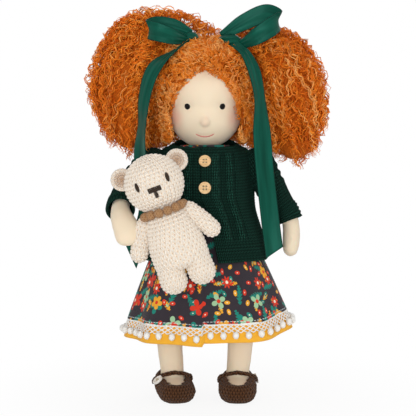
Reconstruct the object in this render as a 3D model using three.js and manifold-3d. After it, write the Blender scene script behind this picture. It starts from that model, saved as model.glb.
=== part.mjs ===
// Cloth doll with curly bunches, knitted cardigan, gathered skirt and a crocheted bear in its arm.
// Millimetres. Z is up, the doll faces -Y, and its own left side is +X.
// It stands on the flat soles of its shoes, and the origin is under the middle of the whole figure.
import * as THREE from 'three';
import { mergeVertices } from 'three/addons/utils/BufferGeometryUtils.js';
import Module from 'manifold-3d';

const wasm = await Module();
wasm.setup();

// Seams: the air left where two pieces touch, and the air left round what turns.
const SEAM = 0.35;
const TURNING_ROOM = 0.8;

// Stature, measured up the body.
const HIP_HEIGHT = 138;
const TRUNK_HEIGHT = 112;
const SHOULDER_BELOW_NECK = 18;
const HIP_SPREAD = 33;
const SHOULDER_SPREAD = 52;

// Trunk and neck.
const PELVIS_HALF = 39;
const WAIST_HALF = 36;
const CHEST_HALF = 39;
const BELLY_DEEP = 31;
const NECK_RADIUS = 13;
const NECK_SOCKET = 2;

// Head: a cheek ball below and a wider skull ball above, in one egg.
const CHEEK_RADIUS = 36.5;
const SKULL_RADIUS = 41.5;
const SKULL_RISE = 21;
const NOSE_RADIUS = 5.5;
const HEAD_SKIN = 1.6;
const EYE_SPREAD = 16.8;
const EYE_RISE = 3.5;
const EYE_HALF = [2.9, 3.2];
const NOSE_DROP = 10.5;
const MOUTH_DROP = 22.5;
const MOUTH_HALF = 9;
const MOUTH_SAG = 2.8;
const MOUTH_THREAD = 0.9;
const EAR_RADIUS = 6.5;
const EAR_RISE = 8;

// Wig: cap thickness, and the arch of the face opening.
const CAP_LOFT = 10;
const FACE_ARCH_HALF = 34;
const FACE_ARCH_RISE = 39;
const LOCKS_DROP = 25;

// Ribbons.
const RIBBON_WIDTH = 18;
const RIBBON_THICK = 0.9;
const RIBBON_POINT = 9;

// Arms, from the shoulder pivot to the tip of the mitt.
const ARM_ROOT = 14.5;
const SLEEVE_ROOT = 18.5;
const CUFF_HALF = 11.5;
const SLEEVE_WALL = 2.6;
const HAND_HALF = 13;
const HAND_DEEP = 9;
const ARM_SWING_OUT = 15;

// Legs and feet.
const THIGH_RADIUS = 15.5;
const CALF_RADIUS = 13.6;
const ANKLE_RADIUS = 12.2;
const FOOT_LENGTH = 60;
const FOOT_HALF = 15.4;
const FOOT_HIGH = 20;

// Shoes.
const SHOE_WALL = 3.4;
const SOLE_THICK = 3;
const SHOE_HEIGHT = 21;
const STRAP_WIDTH = 4.5;
const STRAP_THICK = 2.4;

// Buttons.
const WOOD_BUTTON = 11.5;
const SHOE_BUTTON = 10.5;
const BUTTON_THICK = 2.2;
const BUTTON_HOLE = 0.9;

// Dress and cardigan.
const BODICE_CLOTH = 1.1;
const KNIT = 3;
const CARDIGAN_HEM = [64, 52];
const CARDIGAN_CHEST = [49, 44];
const CARDIGAN_LENGTH = 108;
const COLLAR_HALF = 26;
const OVERLAP_OPEN = 14;

// Skirt, underskirt and the trim between their hems.
const WAIST_DROP = 78;
const SKIRT_LENGTH = 92;
const UNDERSKIRT_LENGTH = 104;
const SKIRT_HEM = [81, 57];
const SKIRT_WAIST = [39, 33];
const SKIRT_LEAN = 5;
const SKIRT_CLOTH = 1.1;
const LAYER_AIR = 0.8;
const FLUTES = 9;
const FLUTE_DEPTH = 3.4;
const FRONT_FOLD_DEPTH = 6;
const FRONT_FOLD_PLACE = -7;
const HEM_KICK = 11;
const NET_TOP = 1;
const NET_OFF = 0.8;
const NET_HEIGHT = 8;
const NET_CELLS = 42;
const NET_THREAD = 1.3;
const POMPOM_RADIUS = 3.2;

// Bear, from the middle of its head.
const BEAR_HEAD = 27;
const BEAR_BODY = 27;
const BEAR_TALL = 104;
const BEAR_LIMB = 8;
const BEAR_LEG = 12.5;
const BEAR_EAR = 10.5;
const BEAR_TILT = 20;
const BEAR_HEAD_PLACE = [-47, -72, -33];
const BOBBLES = 14;
const BOBBLE_RADIUS = 4;
const BEAR_NECKLACE = 19;
const BEAR_EYE_SPREAD = 14.2;
const BEAR_NOSE = 11.6;
const BEAR_ARM_LIFT = 60;

// Heights that follow from the stature.
const NECK_TOP = HIP_HEIGHT + TRUNK_HEIGHT;
const SHOULDER_Z = NECK_TOP - SHOULDER_BELOW_NECK;
const WAIST_Z = NECK_TOP - WAIST_DROP;
const CHEEK_Z = NECK_TOP + CHEEK_RADIUS;
const SKULL_Z = CHEEK_Z + SKULL_RISE;
const CROWN_Z = SKULL_Z + SKULL_RADIUS;

const X = new THREE.Vector3(1, 0, 0);
const Y = new THREE.Vector3(0, 1, 0);
const Z = new THREE.Vector3(0, 0, 1);
const rad = THREE.MathUtils.degToRad;

const COLOURS = {
  skin: ['#f0dec3', 0.85],
  hair: ['#cb6f28', 0.9],
  ribbon: ['#124f3f', 0.4],
  thread: ['#17120f', 0.6],
  lips: ['#d98878', 0.8],
  knit: ['#10332a', 0.95],
  wood: ['#e3be8b', 0.6],
  bodice: ['#34302f', 0.85],
  print: ['#3a3233', 0.85],
  mustard: ['#e9a92e', 0.85],
  lace: ['#f4f1ea', 0.9],
  cream: ['#eadbc8', 0.95],
  bobble: ['#b98a5e', 0.95],
  bearThread: ['#3a2a1c', 0.8],
  brown: ['#54341d', 0.95],
  shell: ['#f2efe9', 0.35],
  wool: ['#efe7d6', 0.95],
};

const doll = new THREE.Group();

/** A named piece in its colour, hung under `parent`. */
function piece(name, geometry, look, parent = doll) {
  const [color, roughness] = COLOURS[look];
  const mesh = new THREE.Mesh(geometry, new THREE.MeshStandardMaterial({ color, roughness, metalness: 0 }));
  mesh.name = name;
  parent.add(mesh);
  return mesh;
}

/** A closed geometry as a solid that can be joined and cut. */
function solid(geometry) {
  const plain = geometry.clone();
  for (const name of Object.keys(plain.attributes)) {
    if (name !== 'position') plain.deleteAttribute(name);
  }
  const merged = mergeVertices(plain, 1e-4);
  return new wasm.Manifold(
    new wasm.Mesh({
      numProp: 3,
      vertProperties: new Float32Array(merged.attributes.position.array),
      triVerts: new Uint32Array(merged.index.array),
    }),
  );
}

/** A joined or cut solid as a geometry again. */
function shaped(body) {
  const mesh = body.getMesh();
  const geometry = new THREE.BufferGeometry();
  geometry.setAttribute('position', new THREE.BufferAttribute(mesh.vertProperties, 3));
  geometry.setIndex(new THREE.BufferAttribute(mesh.triVerts, 1));
  geometry.computeVertexNormals();
  return geometry;
}

/** Adds all the bodies in a list together. */
function joined(bodies) {
  return bodies.reduce((sum, body) => sum.add(body));
}

/** The largest separate lump of a cut solid, so that no crumb is left beside it. */
function mainLump(body) {
  return body.decompose().reduce((best, lump) => (lump.volume() > best.volume() ? lump : best));
}

/** Everything on the far side of a plane through `point`, as a large block pushed along `normal`. */
function beyond(point, normal, reach = 400) {
  const box = new THREE.BoxGeometry(reach, reach, reach).translate(0, 0, reach / 2);
  box.applyQuaternion(new THREE.Quaternion().setFromUnitVectors(Z, normal.clone().normalize()));
  return solid(box.translate(point.x, point.y, point.z));
}

/** Closes a stack of equal rings into one skin, with a middle point over each end. */
function skin(rings, foot, top) {
  const count = rings[0].length;
  const points = rings.flat();
  const faces = [];
  for (let row = 0; row + 1 < rings.length; row += 1) {
    for (let i = 0; i < count; i += 1) {
      const a = row * count + i;
      const b = row * count + ((i + 1) % count);
      faces.push(a, b, b + count, a, b + count, a + count);
    }
  }
  const last = (rings.length - 1) * count;
  const footIndex = points.push(foot) - 1;
  const topIndex = points.push(top) - 1;
  for (let i = 0; i < count; i += 1) {
    const next = (i + 1) % count;
    faces.push(footIndex, next, i, topIndex, last + i, last + next);
  }
  const geometry = new THREE.BufferGeometry().setFromPoints(points);
  geometry.setIndex(faces);
  geometry.computeVertexNormals();
  return geometry;
}

/**
 * A stuffed form: oval rings along a smooth line, swelling and tapering from station to station.
 * A station is [x, y, z, half width, half depth]. Each end is a dome of `dome` times its girth.
 * `grow` fattens the whole form, `reach` lengthens its ends, and `side` is where its width points.
 * `until` ends it before the last station.
 */
function stuffed(stations, options = {}) {
  const { grow = 0, around = 16, between = 2, dome = [1, 1], reach = [0, 0], side = X } = options;
  const lastStation = stations.length - 1;
  const until = options.until ?? lastStation;
  const end = until / lastStation;
  const line = new THREE.CatmullRomCurve3(stations.map(([x, y, z]) => new THREE.Vector3(x, y, z)));
  const girth = new THREE.CatmullRomCurve3(stations.map((s) => new THREE.Vector3(s[3], s[4], 0)));
  const rings = [];
  const ringAt = (centre, along, across, deep) => {
    const u = side.clone().addScaledVector(along, -side.dot(along)).normalize();
    const v = new THREE.Vector3().crossVectors(along, u);
    const ring = [];
    for (let i = 0; i < around; i += 1) {
      const turn = (2 * Math.PI * i) / around;
      const point = centre.clone().addScaledVector(u, across * Math.cos(turn));
      ring.push(point.addScaledVector(v, deep * Math.sin(turn)));
    }
    return ring;
  };
  const domeSteps = 3;
  const addDome = (t, sign, ratio, extra) => {
    const along = line.getTangent(t);
    const size = girth.getPoint(t);
    const base = line.getPoint(t).addScaledVector(along, sign * extra);
    const height = ratio === 0 ? 0 : ratio * Math.min(size.x, size.y) + grow;
    const steps = ratio === 0 ? [0] : Array.from({ length: domeSteps }, (_, i) => i);
    const order = sign < 0 ? steps.reverse() : steps;
    for (const step of order) {
      if (step === 0 && extra === 0) continue;
      const lift = (step * Math.PI) / 2 / domeSteps;
      const centre = base.clone().addScaledVector(along, sign * height * Math.sin(lift));
      rings.push(ringAt(centre, along, (size.x + grow) * Math.cos(lift), (size.y + grow) * Math.cos(lift)));
    }
    return base.addScaledVector(along, sign * height);
  };
  const foot = addDome(0, -1, dome[0], reach[0]);
  const rows = Math.ceil(until * between);
  for (let i = 0; i <= rows; i += 1) {
    const t = (end * i) / rows;
    const size = girth.getPoint(t);
    rings.push(ringAt(line.getPoint(t), line.getTangent(t), size.x + grow, size.y + grow));
  }
  const top = addDome(end, 1, dome[1], reach[1]);
  return skin(rings, foot, top);
}

/** A ball squashed to three half sizes round a point. */
function ball(place, half, [around, rings] = [16, 10]) {
  const geometry = new THREE.SphereGeometry(1, around, rings).rotateX(Math.PI / 2);
  return geometry.scale(...half).translate(...place);
}

/** Three equal half sizes. */
function evenly(size) {
  return [size, size, size];
}

/** A solid turned about a line through `pivot`. */
function turned(body, pivot, axis, degrees) {
  const matrix = new THREE.Matrix4().makeTranslation(pivot.x, pivot.y, pivot.z);
  matrix.multiply(new THREE.Matrix4().makeRotationAxis(axis, rad(degrees)));
  matrix.multiply(new THREE.Matrix4().makeTranslation(-pivot.x, -pivot.y, -pivot.z));
  return body.transform(matrix.toArray());
}

/**
 * A flat ribbon along a smooth route. A station is [x, y, z, half width, [the way its width points]].
 * `point` slants its far end, and `grow` fattens it all over.
 */
function ribbon(stations, { rows = 14, point = 0, grow = 0 } = {}) {
  const line = new THREE.CatmullRomCurve3(stations.map(([x, y, z]) => new THREE.Vector3(x, y, z)));
  const lie = new THREE.CatmullRomCurve3(stations.map((s) => new THREE.Vector3(...s[4])));
  const girth = new THREE.CatmullRomCurve3(stations.map((s) => new THREE.Vector3(s[3], 0, 0)));
  const rings = [];
  for (let i = 0; i <= rows; i += 1) {
    const t = i / rows;
    const along = line.getTangent(t);
    const half = girth.getPoint(t).x + grow;
    const across = lie.getPoint(t);
    across.addScaledVector(along, -across.dot(along)).normalize();
    const face = new THREE.Vector3().crossVectors(along, across);
    const cut = i === rows ? point : 0;
    rings.push([[-1, -1], [1, -1], [1, 1], [-1, 1]].map(([a, b]) => {
      const corner = line.getPoint(t).addScaledVector(across, a * half);
      return corner.addScaledVector(face, b * (RIBBON_THICK / 2 + grow)).addScaledVector(along, a * cut);
    }));
  }
  return skin(rings, line.getPoint(0), line.getPoint(1));
}

/** Where a straight line from outside first meets a solid. */
function touch(geometry, from, direction) {
  const probe = new THREE.Mesh(geometry, new THREE.MeshBasicMaterial());
  const ray = new THREE.Raycaster(from, direction.clone().normalize());
  return ray.intersectObject(probe)[0];
}

// Trunk and neck

const trunkStations = [
  [0, 0, HIP_HEIGHT + 4, PELVIS_HALF - 8, BELLY_DEEP - 5],
  [0, 0, HIP_HEIGHT + 18, PELVIS_HALF, BELLY_DEEP],
  [0, 0, WAIST_Z, WAIST_HALF, BELLY_DEEP - 1],
  [0, 0, SHOULDER_Z - 20, CHEST_HALF, BELLY_DEEP],
  [0, 0, SHOULDER_Z, CHEST_HALF, BELLY_DEEP - 3],
  [0, 0, NECK_TOP - 7, 27, 25],
];
const trunkShape = { around: 18, between: 1, dome: [0.45, 0.15] };
const neckTop = NECK_TOP + NECK_SOCKET;

// Arms and sleeves: the ball of each root sits in the armhole, and its rim plane is square to the swing.

/** What differs between the two arms: the side, the swing in degrees and the bend of the limb. */
const arms = {
  left: {
    side: 1,
    swing: [-20, 55],
    limb: [
      [0, 0, 0, ARM_ROOT, ARM_ROOT],
      [18, -2, -29, 9.5, 10.5],
      [33, -4, -53, CUFF_HALF - SLEEVE_WALL - SEAM, CUFF_HALF + 1 - SLEEVE_WALL - SEAM],
      [34, -7, -71, HAND_DEEP, HAND_HALF],
      [33, -9, -82, HAND_DEEP - 1, HAND_HALF - 2],
    ],
    cuffAt: 2,
    sleeve: [
      [SLEEVE_ROOT, SLEEVE_ROOT],
      [CUFF_HALF + 2.5, CUFF_HALF + 3],
      [CUFF_HALF, CUFF_HALF + 1],
    ],
  },
  right: {
    side: -1,
    swing: [0, 30],
    limb: [
      [0, 0, 0, ARM_ROOT, ARM_ROOT],
      [-20, -12, -20, 10, 10.5],
      [-29, -34, -36, CUFF_HALF - SLEEVE_WALL - SEAM, CUFF_HALF + 1 - SLEEVE_WALL - SEAM],
      [-27, -54, -47, HAND_HALF - 2, HAND_DEEP + 1],
      [-22, -64, -56, HAND_HALF, HAND_DEEP],
      [-20, -69, -66, HAND_HALF - 1, HAND_DEEP - 1],
    ],
    cuffAt: 2.4,
    sleeve: [
      [SLEEVE_ROOT, SLEEVE_ROOT],
      [CUFF_HALF + 4, CUFF_HALF + 3],
      [CUFF_HALF + 1, CUFF_HALF + 1],
      [CUFF_HALF + 2, CUFF_HALF + 1.5],
    ],
  },
};
for (const arm of Object.values(arms)) {
  arm.pivot = new THREE.Vector3(arm.side * SHOULDER_SPREAD, 0, SHOULDER_Z);
  arm.axis = new THREE.Vector3(1, 0, 0).applyAxisAngle(Z, rad(arm.side * ARM_SWING_OUT));
  arm.inward = arm.axis.clone().multiplyScalar(-arm.side);
  arm.rim = arm.pivot.clone().addScaledVector(arm.inward, ARM_ROOT - 2);
  const place = ([x, y, z, ...half]) => [x + arm.pivot.x, y + arm.pivot.y, z + arm.pivot.z, ...half];
  arm.limbStations = arm.limb.map(place);
  arm.sleeveStations = arm.limbStations.map(([x, y, z], i) => {
    return [x, y, z, ...(arm.sleeve[i] ?? arm.sleeve.at(-1))];
  });
  arm.sleeveShape = { around: 12, dome: [1, 0], until: arm.cuffAt };
  const shoulderRoom = solid(ball(arm.pivot.toArray(), evenly(SLEEVE_ROOT + TURNING_ROOM), [20, 12]));
  const rootRoom = solid(ball(arm.pivot.toArray(), evenly(ARM_ROOT + TURNING_ROOM), [16, 10]));
  const roomRim = arm.rim.clone().addScaledVector(arm.inward, TURNING_ROOM);
  const sleeveRoom = solid(stuffed(arm.sleeveStations, { ...arm.sleeveShape, grow: TURNING_ROOM }));
  const swept = joined([0, 0.25, 0.5, 0.75, 1].map((share) => {
    return turned(sleeveRoom, arm.pivot, arm.axis, -THREE.MathUtils.lerp(...arm.swing, share));
  }));
  arm.room = shoulderRoom.add(swept).subtract(beyond(roomRim, arm.inward)).add(rootRoom);
}
const armRoom = arms.left.room.add(arms.right.room);

// Legs: a ball at the hip, a long taper, and a foot turned a little in.

/** What differs between the two legs. */
const legs = {
  left: { side: 1, toeIn: 2, buttonAt: [10, 3, 15], buttonAim: [-1, -0.2, -0.1] },
  right: { side: -1, toeIn: 12, buttonAt: [-10.3, -14, 18], buttonAim: [0.45, 0.9, -0.1] },
};
const kneeHeight = 0.42 * HIP_HEIGHT;
const ankleHeight = 0.17 * HIP_HEIGHT;
for (const leg of Object.values(legs)) {
  leg.group = new THREE.Group();
  leg.group.position.set(leg.side * HIP_SPREAD, 0, HIP_HEIGHT);
  doll.add(leg.group);
  leg.pivot = leg.group.position;
  leg.limbStations = [
    [0, 0, 0, THIGH_RADIUS, THIGH_RADIUS],
    [leg.side * 2, 0, (kneeHeight - HIP_HEIGHT) / 2, THIGH_RADIUS - 0.5, THIGH_RADIUS - 0.5],
    [leg.side * 3, 0, kneeHeight - HIP_HEIGHT, CALF_RADIUS, CALF_RADIUS],
    [0, 0, ankleHeight - HIP_HEIGHT, ANKLE_RADIUS, ANKLE_RADIUS],
    [0, 0, 14 - HIP_HEIGHT, ANKLE_RADIUS, ANKLE_RADIUS],
  ];
  const roomHalf = THIGH_RADIUS + TURNING_ROOM;
  const hipRoom = solid(ball(leg.pivot.toArray(), evenly(roomHalf), [16, 10]));
  const fan = new THREE.Shape().moveTo(0, roomHalf);
  fan.lineTo(3 * roomHalf, roomHalf).lineTo(3 * roomHalf, -3 * roomHalf).lineTo(-2 * roomHalf, -3 * roomHalf);
  fan.lineTo(-roomHalf, 0);
  const slot = new THREE.ExtrudeGeometry(fan, { depth: 2 * roomHalf, bevelEnabled: false });
  slot.rotateY(-Math.PI / 2).rotateX(Math.PI / 2).translate(leg.pivot.x + roomHalf, 0, HIP_HEIGHT);
  leg.room = hipRoom.add(solid(slot));
}
const legRoom = legs.left.room.add(legs.right.room);

const trunkCut = solid(stuffed(trunkStations, trunkShape)).subtract(armRoom).subtract(legRoom);
piece('torso', shaped(mainLump(trunkCut)), 'wool');

const neckStalk = new THREE.CylinderGeometry(NECK_RADIUS, NECK_RADIUS + 1, 20, 20).rotateX(Math.PI / 2);
neckStalk.translate(0, 0, neckTop - 10);
const trunkCover = solid(stuffed(trunkStations, { ...trunkShape, grow: SEAM }));
piece('neck', shaped(mainLump(solid(neckStalk).subtract(trunkCover))), 'skin');

// Dress bodice: a thin cloth shell over the trunk, from the waist seam to a low round neckline.

const bodiceStations = [...trunkStations.slice(2), [0, 0, NECK_TOP + 3, 23, 25]];
const bodiceShape = { around: 18, between: 1, dome: [0, 0] };
const bodiceOuter = solid(stuffed(bodiceStations, { ...bodiceShape, grow: SEAM + BODICE_CLOTH }));
const bodiceInner = solid(stuffed(bodiceStations, { ...bodiceShape, grow: SEAM, reach: [9, 9] }));
const bodice = bodiceOuter.subtract(bodiceInner).subtract(trunkCover).subtract(armRoom);
piece('dress_bodice', shaped(mainLump(bodice)), 'bodice');

// Cardigan: a knitted shell with a round collar, open in front below the second button.

const cardiganHemZ = NECK_TOP - CARDIGAN_LENGTH;
const cardiganStations = [
  [0, 0, cardiganHemZ, ...CARDIGAN_HEM],
  [0, 0, cardiganHemZ + 20, CARDIGAN_HEM[0] - 5, CARDIGAN_HEM[1] - 3],
  [0, 0, SHOULDER_Z - 42, CARDIGAN_CHEST[0] + 2, CARDIGAN_CHEST[1] + 1],
  [0, 0, SHOULDER_Z - 18, ...CARDIGAN_CHEST],
  [0, 0, SHOULDER_Z, CARDIGAN_CHEST[0] - 2, CARDIGAN_CHEST[1] - 5],
  [0, 0, SHOULDER_Z + 12, 38, 34],
  [0, 0, NECK_TOP + 4, COLLAR_HALF + 3, 30],
  [0, 0, NECK_TOP + 12, COLLAR_HALF, 27],
];
const cardiganShape = { around: 26, between: 1, dome: [0, 0] };
const cardiganOuter = solid(stuffed(cardiganStations, cardiganShape));
const cardiganInner = solid(stuffed(cardiganStations, { ...cardiganShape, grow: -KNIT, reach: [9, 9] }));
const neckline = beyond(new THREE.Vector3(0, -30, NECK_TOP + 0.5), new THREE.Vector3(0, -0.17, 1));
const vent = new THREE.Shape([
  new THREE.Vector2(-0.4, SHOULDER_Z - 30),
  new THREE.Vector2(-OVERLAP_OPEN, cardiganHemZ - 9),
  new THREE.Vector2(OVERLAP_OPEN, cardiganHemZ - 9),
  new THREE.Vector2(0.4, SHOULDER_Z - 30),
]);
const ventCut = new THREE.ExtrudeGeometry(vent, { depth: 90, bevelEnabled: false }).rotateX(Math.PI / 2);
const cardigan = shaped(mainLump(
  cardiganOuter.subtract(cardiganInner).subtract(neckline).subtract(solid(ventCut)).subtract(armRoom),
));
piece('cardigan_body', cardigan, 'knit');

/** The corners of a regular polygon round a point. */
function roundPoints(x, y, radius, count) {
  return Array.from({ length: count }, (_, i) => {
    const turn = (2 * Math.PI * i) / count;
    return new THREE.Vector2(x + radius * Math.cos(turn), y + radius * Math.sin(turn));
  });
}

/** A flat round button with four thread holes, its back at the origin and its face along +Z. */
function buttonGeometry(diameter) {
  const face = new THREE.Shape(roundPoints(0, 0, diameter / 2, 20));
  for (const [x, y] of [[1, 1], [-1, 1], [-1, -1], [1, -1]]) {
    face.holes.push(new THREE.Path(roundPoints(x * diameter * 0.13, y * diameter * 0.13, BUTTON_HOLE, 6)));
  }
  return new THREE.ExtrudeGeometry(face, { depth: BUTTON_THICK, bevelEnabled: false });
}

/** Lays a button against a surface, where a line in `direction` through `target` meets it from outside. */
function sewButton(name, look, diameter, carrier, target, direction, parent = doll, spare = 0) {
  const seat = touch(carrier, target.clone().addScaledVector(direction, -90), direction);
  const button = piece(name, buttonGeometry(diameter), look, parent);
  button.quaternion.setFromUnitVectors(Z, seat.face.normal);
  button.position.copy(seat.point).addScaledVector(seat.face.normal, SEAM + spare);
  button.updateMatrix();
  return button;
}
const buttonSpacing = 24;
const buttonTopZ = SHOULDER_Z + 4;
for (const [i, name] of ['cardigan_button_upper', 'cardigan_button_lower'].entries()) {
  const target = new THREE.Vector3(0, -CARDIGAN_CHEST[1], buttonTopZ - i * buttonSpacing);
  sewButton(name, 'wood', WOOD_BUTTON, cardigan, target, Y);
}

// Skirt, underskirt and trim: one fold formula serves all three, so the layers stay nested.

const skirtColumns = 56;
const columnTurn = (2 * Math.PI) / skirtColumns;
const foldTurn = Math.asin(FRONT_FOLD_PLACE / SKIRT_HEM[0]);

/** How far the cloth stands out of its plain cone at a turn from the front, at the hem. */
function foldDepth(turn) {
  const flute = FLUTE_DEPTH * Math.cos(FLUTES * turn + 0.6) * (0.75 + 0.25 * Math.cos(2 * turn + 1));
  const off = Math.atan2(Math.sin(turn - foldTurn), Math.cos(turn - foldTurn));
  const roll = off < 0 ? Math.exp(-((off / 0.5) ** 2)) : -0.55 * Math.exp(-((off / 0.4) ** 2));
  return flute + FRONT_FOLD_DEPTH * 0.5 * roll;
}

/** How much higher the hem hangs at a turn from the front: it kicks up on the left side. */
function hemLift(turn) {
  const side = Math.max(0, Math.sin(turn));
  const off = Math.atan2(Math.sin(turn - foldTurn), Math.cos(turn - foldTurn));
  return HEM_KICK * side ** 3 + (off > 0 ? 2.4 * Math.exp(-((off / 0.6) ** 2)) : 0);
}

/** A point of the skirt cloth: turn from the front, drop below the waist, and depth under its face. */
function clothPoint(turn, drop, depth) {
  const fall = drop / SKIRT_LENGTH;
  const spread = fall ** 0.82;
  const fold = foldDepth(turn) * Math.min(1, fall) ** 1.3 - depth;
  const halfWidth = THREE.MathUtils.lerp(SKIRT_WAIST[0], SKIRT_HEM[0], spread) + fold;
  const halfDepth = THREE.MathUtils.lerp(SKIRT_WAIST[1], SKIRT_HEM[1], spread) + fold;
  const x = halfWidth * Math.sin(turn) + SKIRT_LEAN * fall;
  return new THREE.Vector3(x, -halfDepth * Math.cos(turn), WAIST_Z - drop);
}

/** A sleeve of cloth between two drops, with the thickness of the cloth. */
function clothLayer(startDrop, length, depth, rows) {
  const rings = [];
  const ring = (share, under) => Array.from({ length: skirtColumns }, (_, i) => {
    const turn = (i + 0.5) * columnTurn + foldTurn;
    const end = length - hemLift(turn);
    return clothPoint(turn, startDrop + (end - startDrop) * share, under);
  });
  for (let i = 0; i <= rows; i += 1) rings.push(ring(1 - i / rows, depth));
  for (let i = 0; i <= rows; i += 1) rings.push(ring(i / rows, depth + SKIRT_CLOTH));
  const count = skirtColumns;
  const faces = [];
  for (let row = 0; row < rings.length; row += 1) {
    const above = (row + 1) % rings.length;
    for (let i = 0; i < count; i += 1) {
      const next = (i + 1) % count;
      const [a, b, c, d] = [row * count + i, row * count + next, above * count + next, above * count + i];
      faces.push(a, b, c, a, c, d);
    }
  }
  const geometry = new THREE.BufferGeometry().setFromPoints(rings.flat());
  geometry.setIndex(faces);
  geometry.computeVertexNormals();
  return geometry;
}
const underDepth = SKIRT_CLOTH + LAYER_AIR;
piece('skirt', clothLayer(0, SKIRT_LENGTH, 0, 6), 'print');
piece('underskirt', clothLayer(8, UNDERSKIRT_LENGTH + 6, underDepth, 5), 'mustard');

/** A place over the flat between two columns of the underskirt, below the skirt's hem and off the cloth. */
function trimPoint(turn, below, off) {
  const column = (turn - foldTurn) / columnTurn - 0.5;
  const [low, high] = [Math.floor(column), Math.floor(column) + 1].map((at) => {
    const there = (at + 0.5) * columnTurn + foldTurn;
    return clothPoint(there, SKIRT_LENGTH - hemLift(there) + below, underDepth - off);
  });
  return low.lerp(high, column - Math.floor(column));
}

/** Corners of one lattice cell, as a share of the cell's width and of the net's height. */
const CELL = {
  tapeLeft: [0, 0],
  tapeMiddle: [0.5, 0],
  holeLeft: [0.16, 0.42],
  holeTop: [0.5, 0.15],
  holeRight: [0.84, 0.42],
  holeFoot: [0.5, 0.76],
  notch: [0, 0.56],
  foot: [0.5, 1],
};
const corners = Object.keys(CELL);

/** The lattice between the hem and the pompoms: one diamond hole a cell, closed round the skirt. */
function latticeNet() {
  const points = [];
  for (let cell = 0; cell < NET_CELLS; cell += 1) {
    for (const [across, down] of Object.values(CELL)) {
      const turn = (2 * Math.PI * (cell + across - 0.5)) / NET_CELLS;
      for (const lift of [NET_OFF + NET_THREAD, NET_OFF]) {
        points.push(trimPoint(turn, NET_TOP + down * NET_HEIGHT, lift));
      }
    }
  }
  const faces = [];
  for (let cell = 0; cell < NET_CELLS; cell += 1) {
    const at = (name, back) => {
      const onward = name === 'tapeRight' || name === 'notchRight' ? 1 : 0;
      const corner = corners.indexOf({ tapeRight: 'tapeLeft', notchRight: 'notch' }[name] ?? name);
      return (((cell + onward) % NET_CELLS) * corners.length + corner) * 2 + back;
    };
    const face = (...names) => {
      for (let i = 1; i + 1 < names.length; i += 1) {
        faces.push(at(names[0], 0), at(names[i], 0), at(names[i + 1], 0));
        faces.push(at(names[0], 1), at(names[i + 1], 1), at(names[i], 1));
      }
    };
    face('tapeLeft', 'holeLeft', 'holeTop', 'tapeMiddle');
    face('tapeMiddle', 'holeTop', 'holeRight', 'tapeRight');
    face('tapeRight', 'holeRight', 'notchRight');
    face('notchRight', 'holeRight', 'holeFoot', 'foot');
    face('foot', 'holeFoot', 'holeLeft', 'notch');
    face('notch', 'holeLeft', 'tapeLeft');
    const rims = [
      ['tapeRight', 'tapeMiddle', 'tapeLeft'],
      ['notch', 'foot', 'notchRight'],
      ['holeLeft', 'holeTop', 'holeRight', 'holeFoot', 'holeLeft'],
    ];
    for (const rim of rims) {
      for (let i = 0; i + 1 < rim.length; i += 1) {
        const [a, b] = [rim[i], rim[i + 1]];
        faces.push(at(b, 0), at(a, 0), at(a, 1), at(b, 0), at(a, 1), at(b, 1));
      }
    }
  }
  const geometry = new THREE.BufferGeometry().setFromPoints(points);
  geometry.setIndex(faces);
  return solid(geometry);
}
const pompoms = Array.from({ length: NET_CELLS }, (_, i) => {
  const below = NET_TOP + NET_HEIGHT + POMPOM_RADIUS / 4;
  const place = trimPoint((2 * Math.PI * i) / NET_CELLS, below, POMPOM_RADIUS + NET_OFF - 0.4);
  return solid(new THREE.IcosahedronGeometry(POMPOM_RADIUS).translate(...place));
});
piece('lace_trim', shaped(joined([latticeNet(), ...pompoms])), 'lace');

// Head: the skin ball with its nose, a wound wool core inside, and the sewn features.

/** Half the outline of the head egg, as points from the neck to the crown. */
function headOutline(grow) {
  const low = CHEEK_RADIUS + grow;
  const high = SKULL_RADIUS + grow;
  const lean = Math.asin((high - low) / SKULL_RISE);
  const points = [];
  const arc = (radius, z, from, to, steps) => {
    for (let i = 0; i <= steps; i += 1) {
      const turn = from + ((to - from) * i) / steps;
      points.push(new THREE.Vector2(Math.max(0, radius * Math.cos(turn)), z + radius * Math.sin(turn)));
    }
  };
  arc(low, CHEEK_Z, -Math.PI / 2, -lean, 6);
  arc(high, SKULL_Z, -lean, Math.PI / 2, 7);
  return points;
}

/** The head egg, turned about its upright axis. */
function headEgg(grow, around = 22) {
  return solid(new THREE.LatheGeometry(headOutline(grow), around).rotateX(Math.PI / 2));
}
const neckSocket = solid(
  new THREE.CylinderGeometry(NECK_RADIUS + SEAM, NECK_RADIUS + SEAM, 20, 20)
    .rotateX(Math.PI / 2)
    .translate(0, 0, neckTop + SEAM - 10),
);
const eggTop = headEgg(0);
const noseSeat = touch(shaped(eggTop), new THREE.Vector3(0, -90, CHEEK_Z - NOSE_DROP), Y).point;
const nosePlace = [0, noseSeat.y + 2, noseSeat.z];
const nose = solid(ball(nosePlace, [NOSE_RADIUS, NOSE_RADIUS, NOSE_RADIUS - 0.5], [14, 8]));
const headCore = headEgg(-HEAD_SKIN - SEAM, 16);
const coreOpening = new THREE.CylinderGeometry(NECK_RADIUS - 2, NECK_RADIUS - 2, 20, 16);
coreOpening.rotateX(Math.PI / 2).translate(0, 0, NECK_TOP);
const headSolid = eggTop.add(nose);
const skinInside = headEgg(-HEAD_SKIN, 16).add(neckSocket).add(solid(coreOpening));
const headShell = headSolid.subtract(skinInside);
const head = piece('head', shaped(headShell), 'skin');
piece('head_wool_core', shaped(headCore.subtract(neckSocket)), 'wool');
const headCover = headEgg(SEAM).add(solid(ball(nosePlace, evenly(NOSE_RADIUS + SEAM), [14, 8])));

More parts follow.
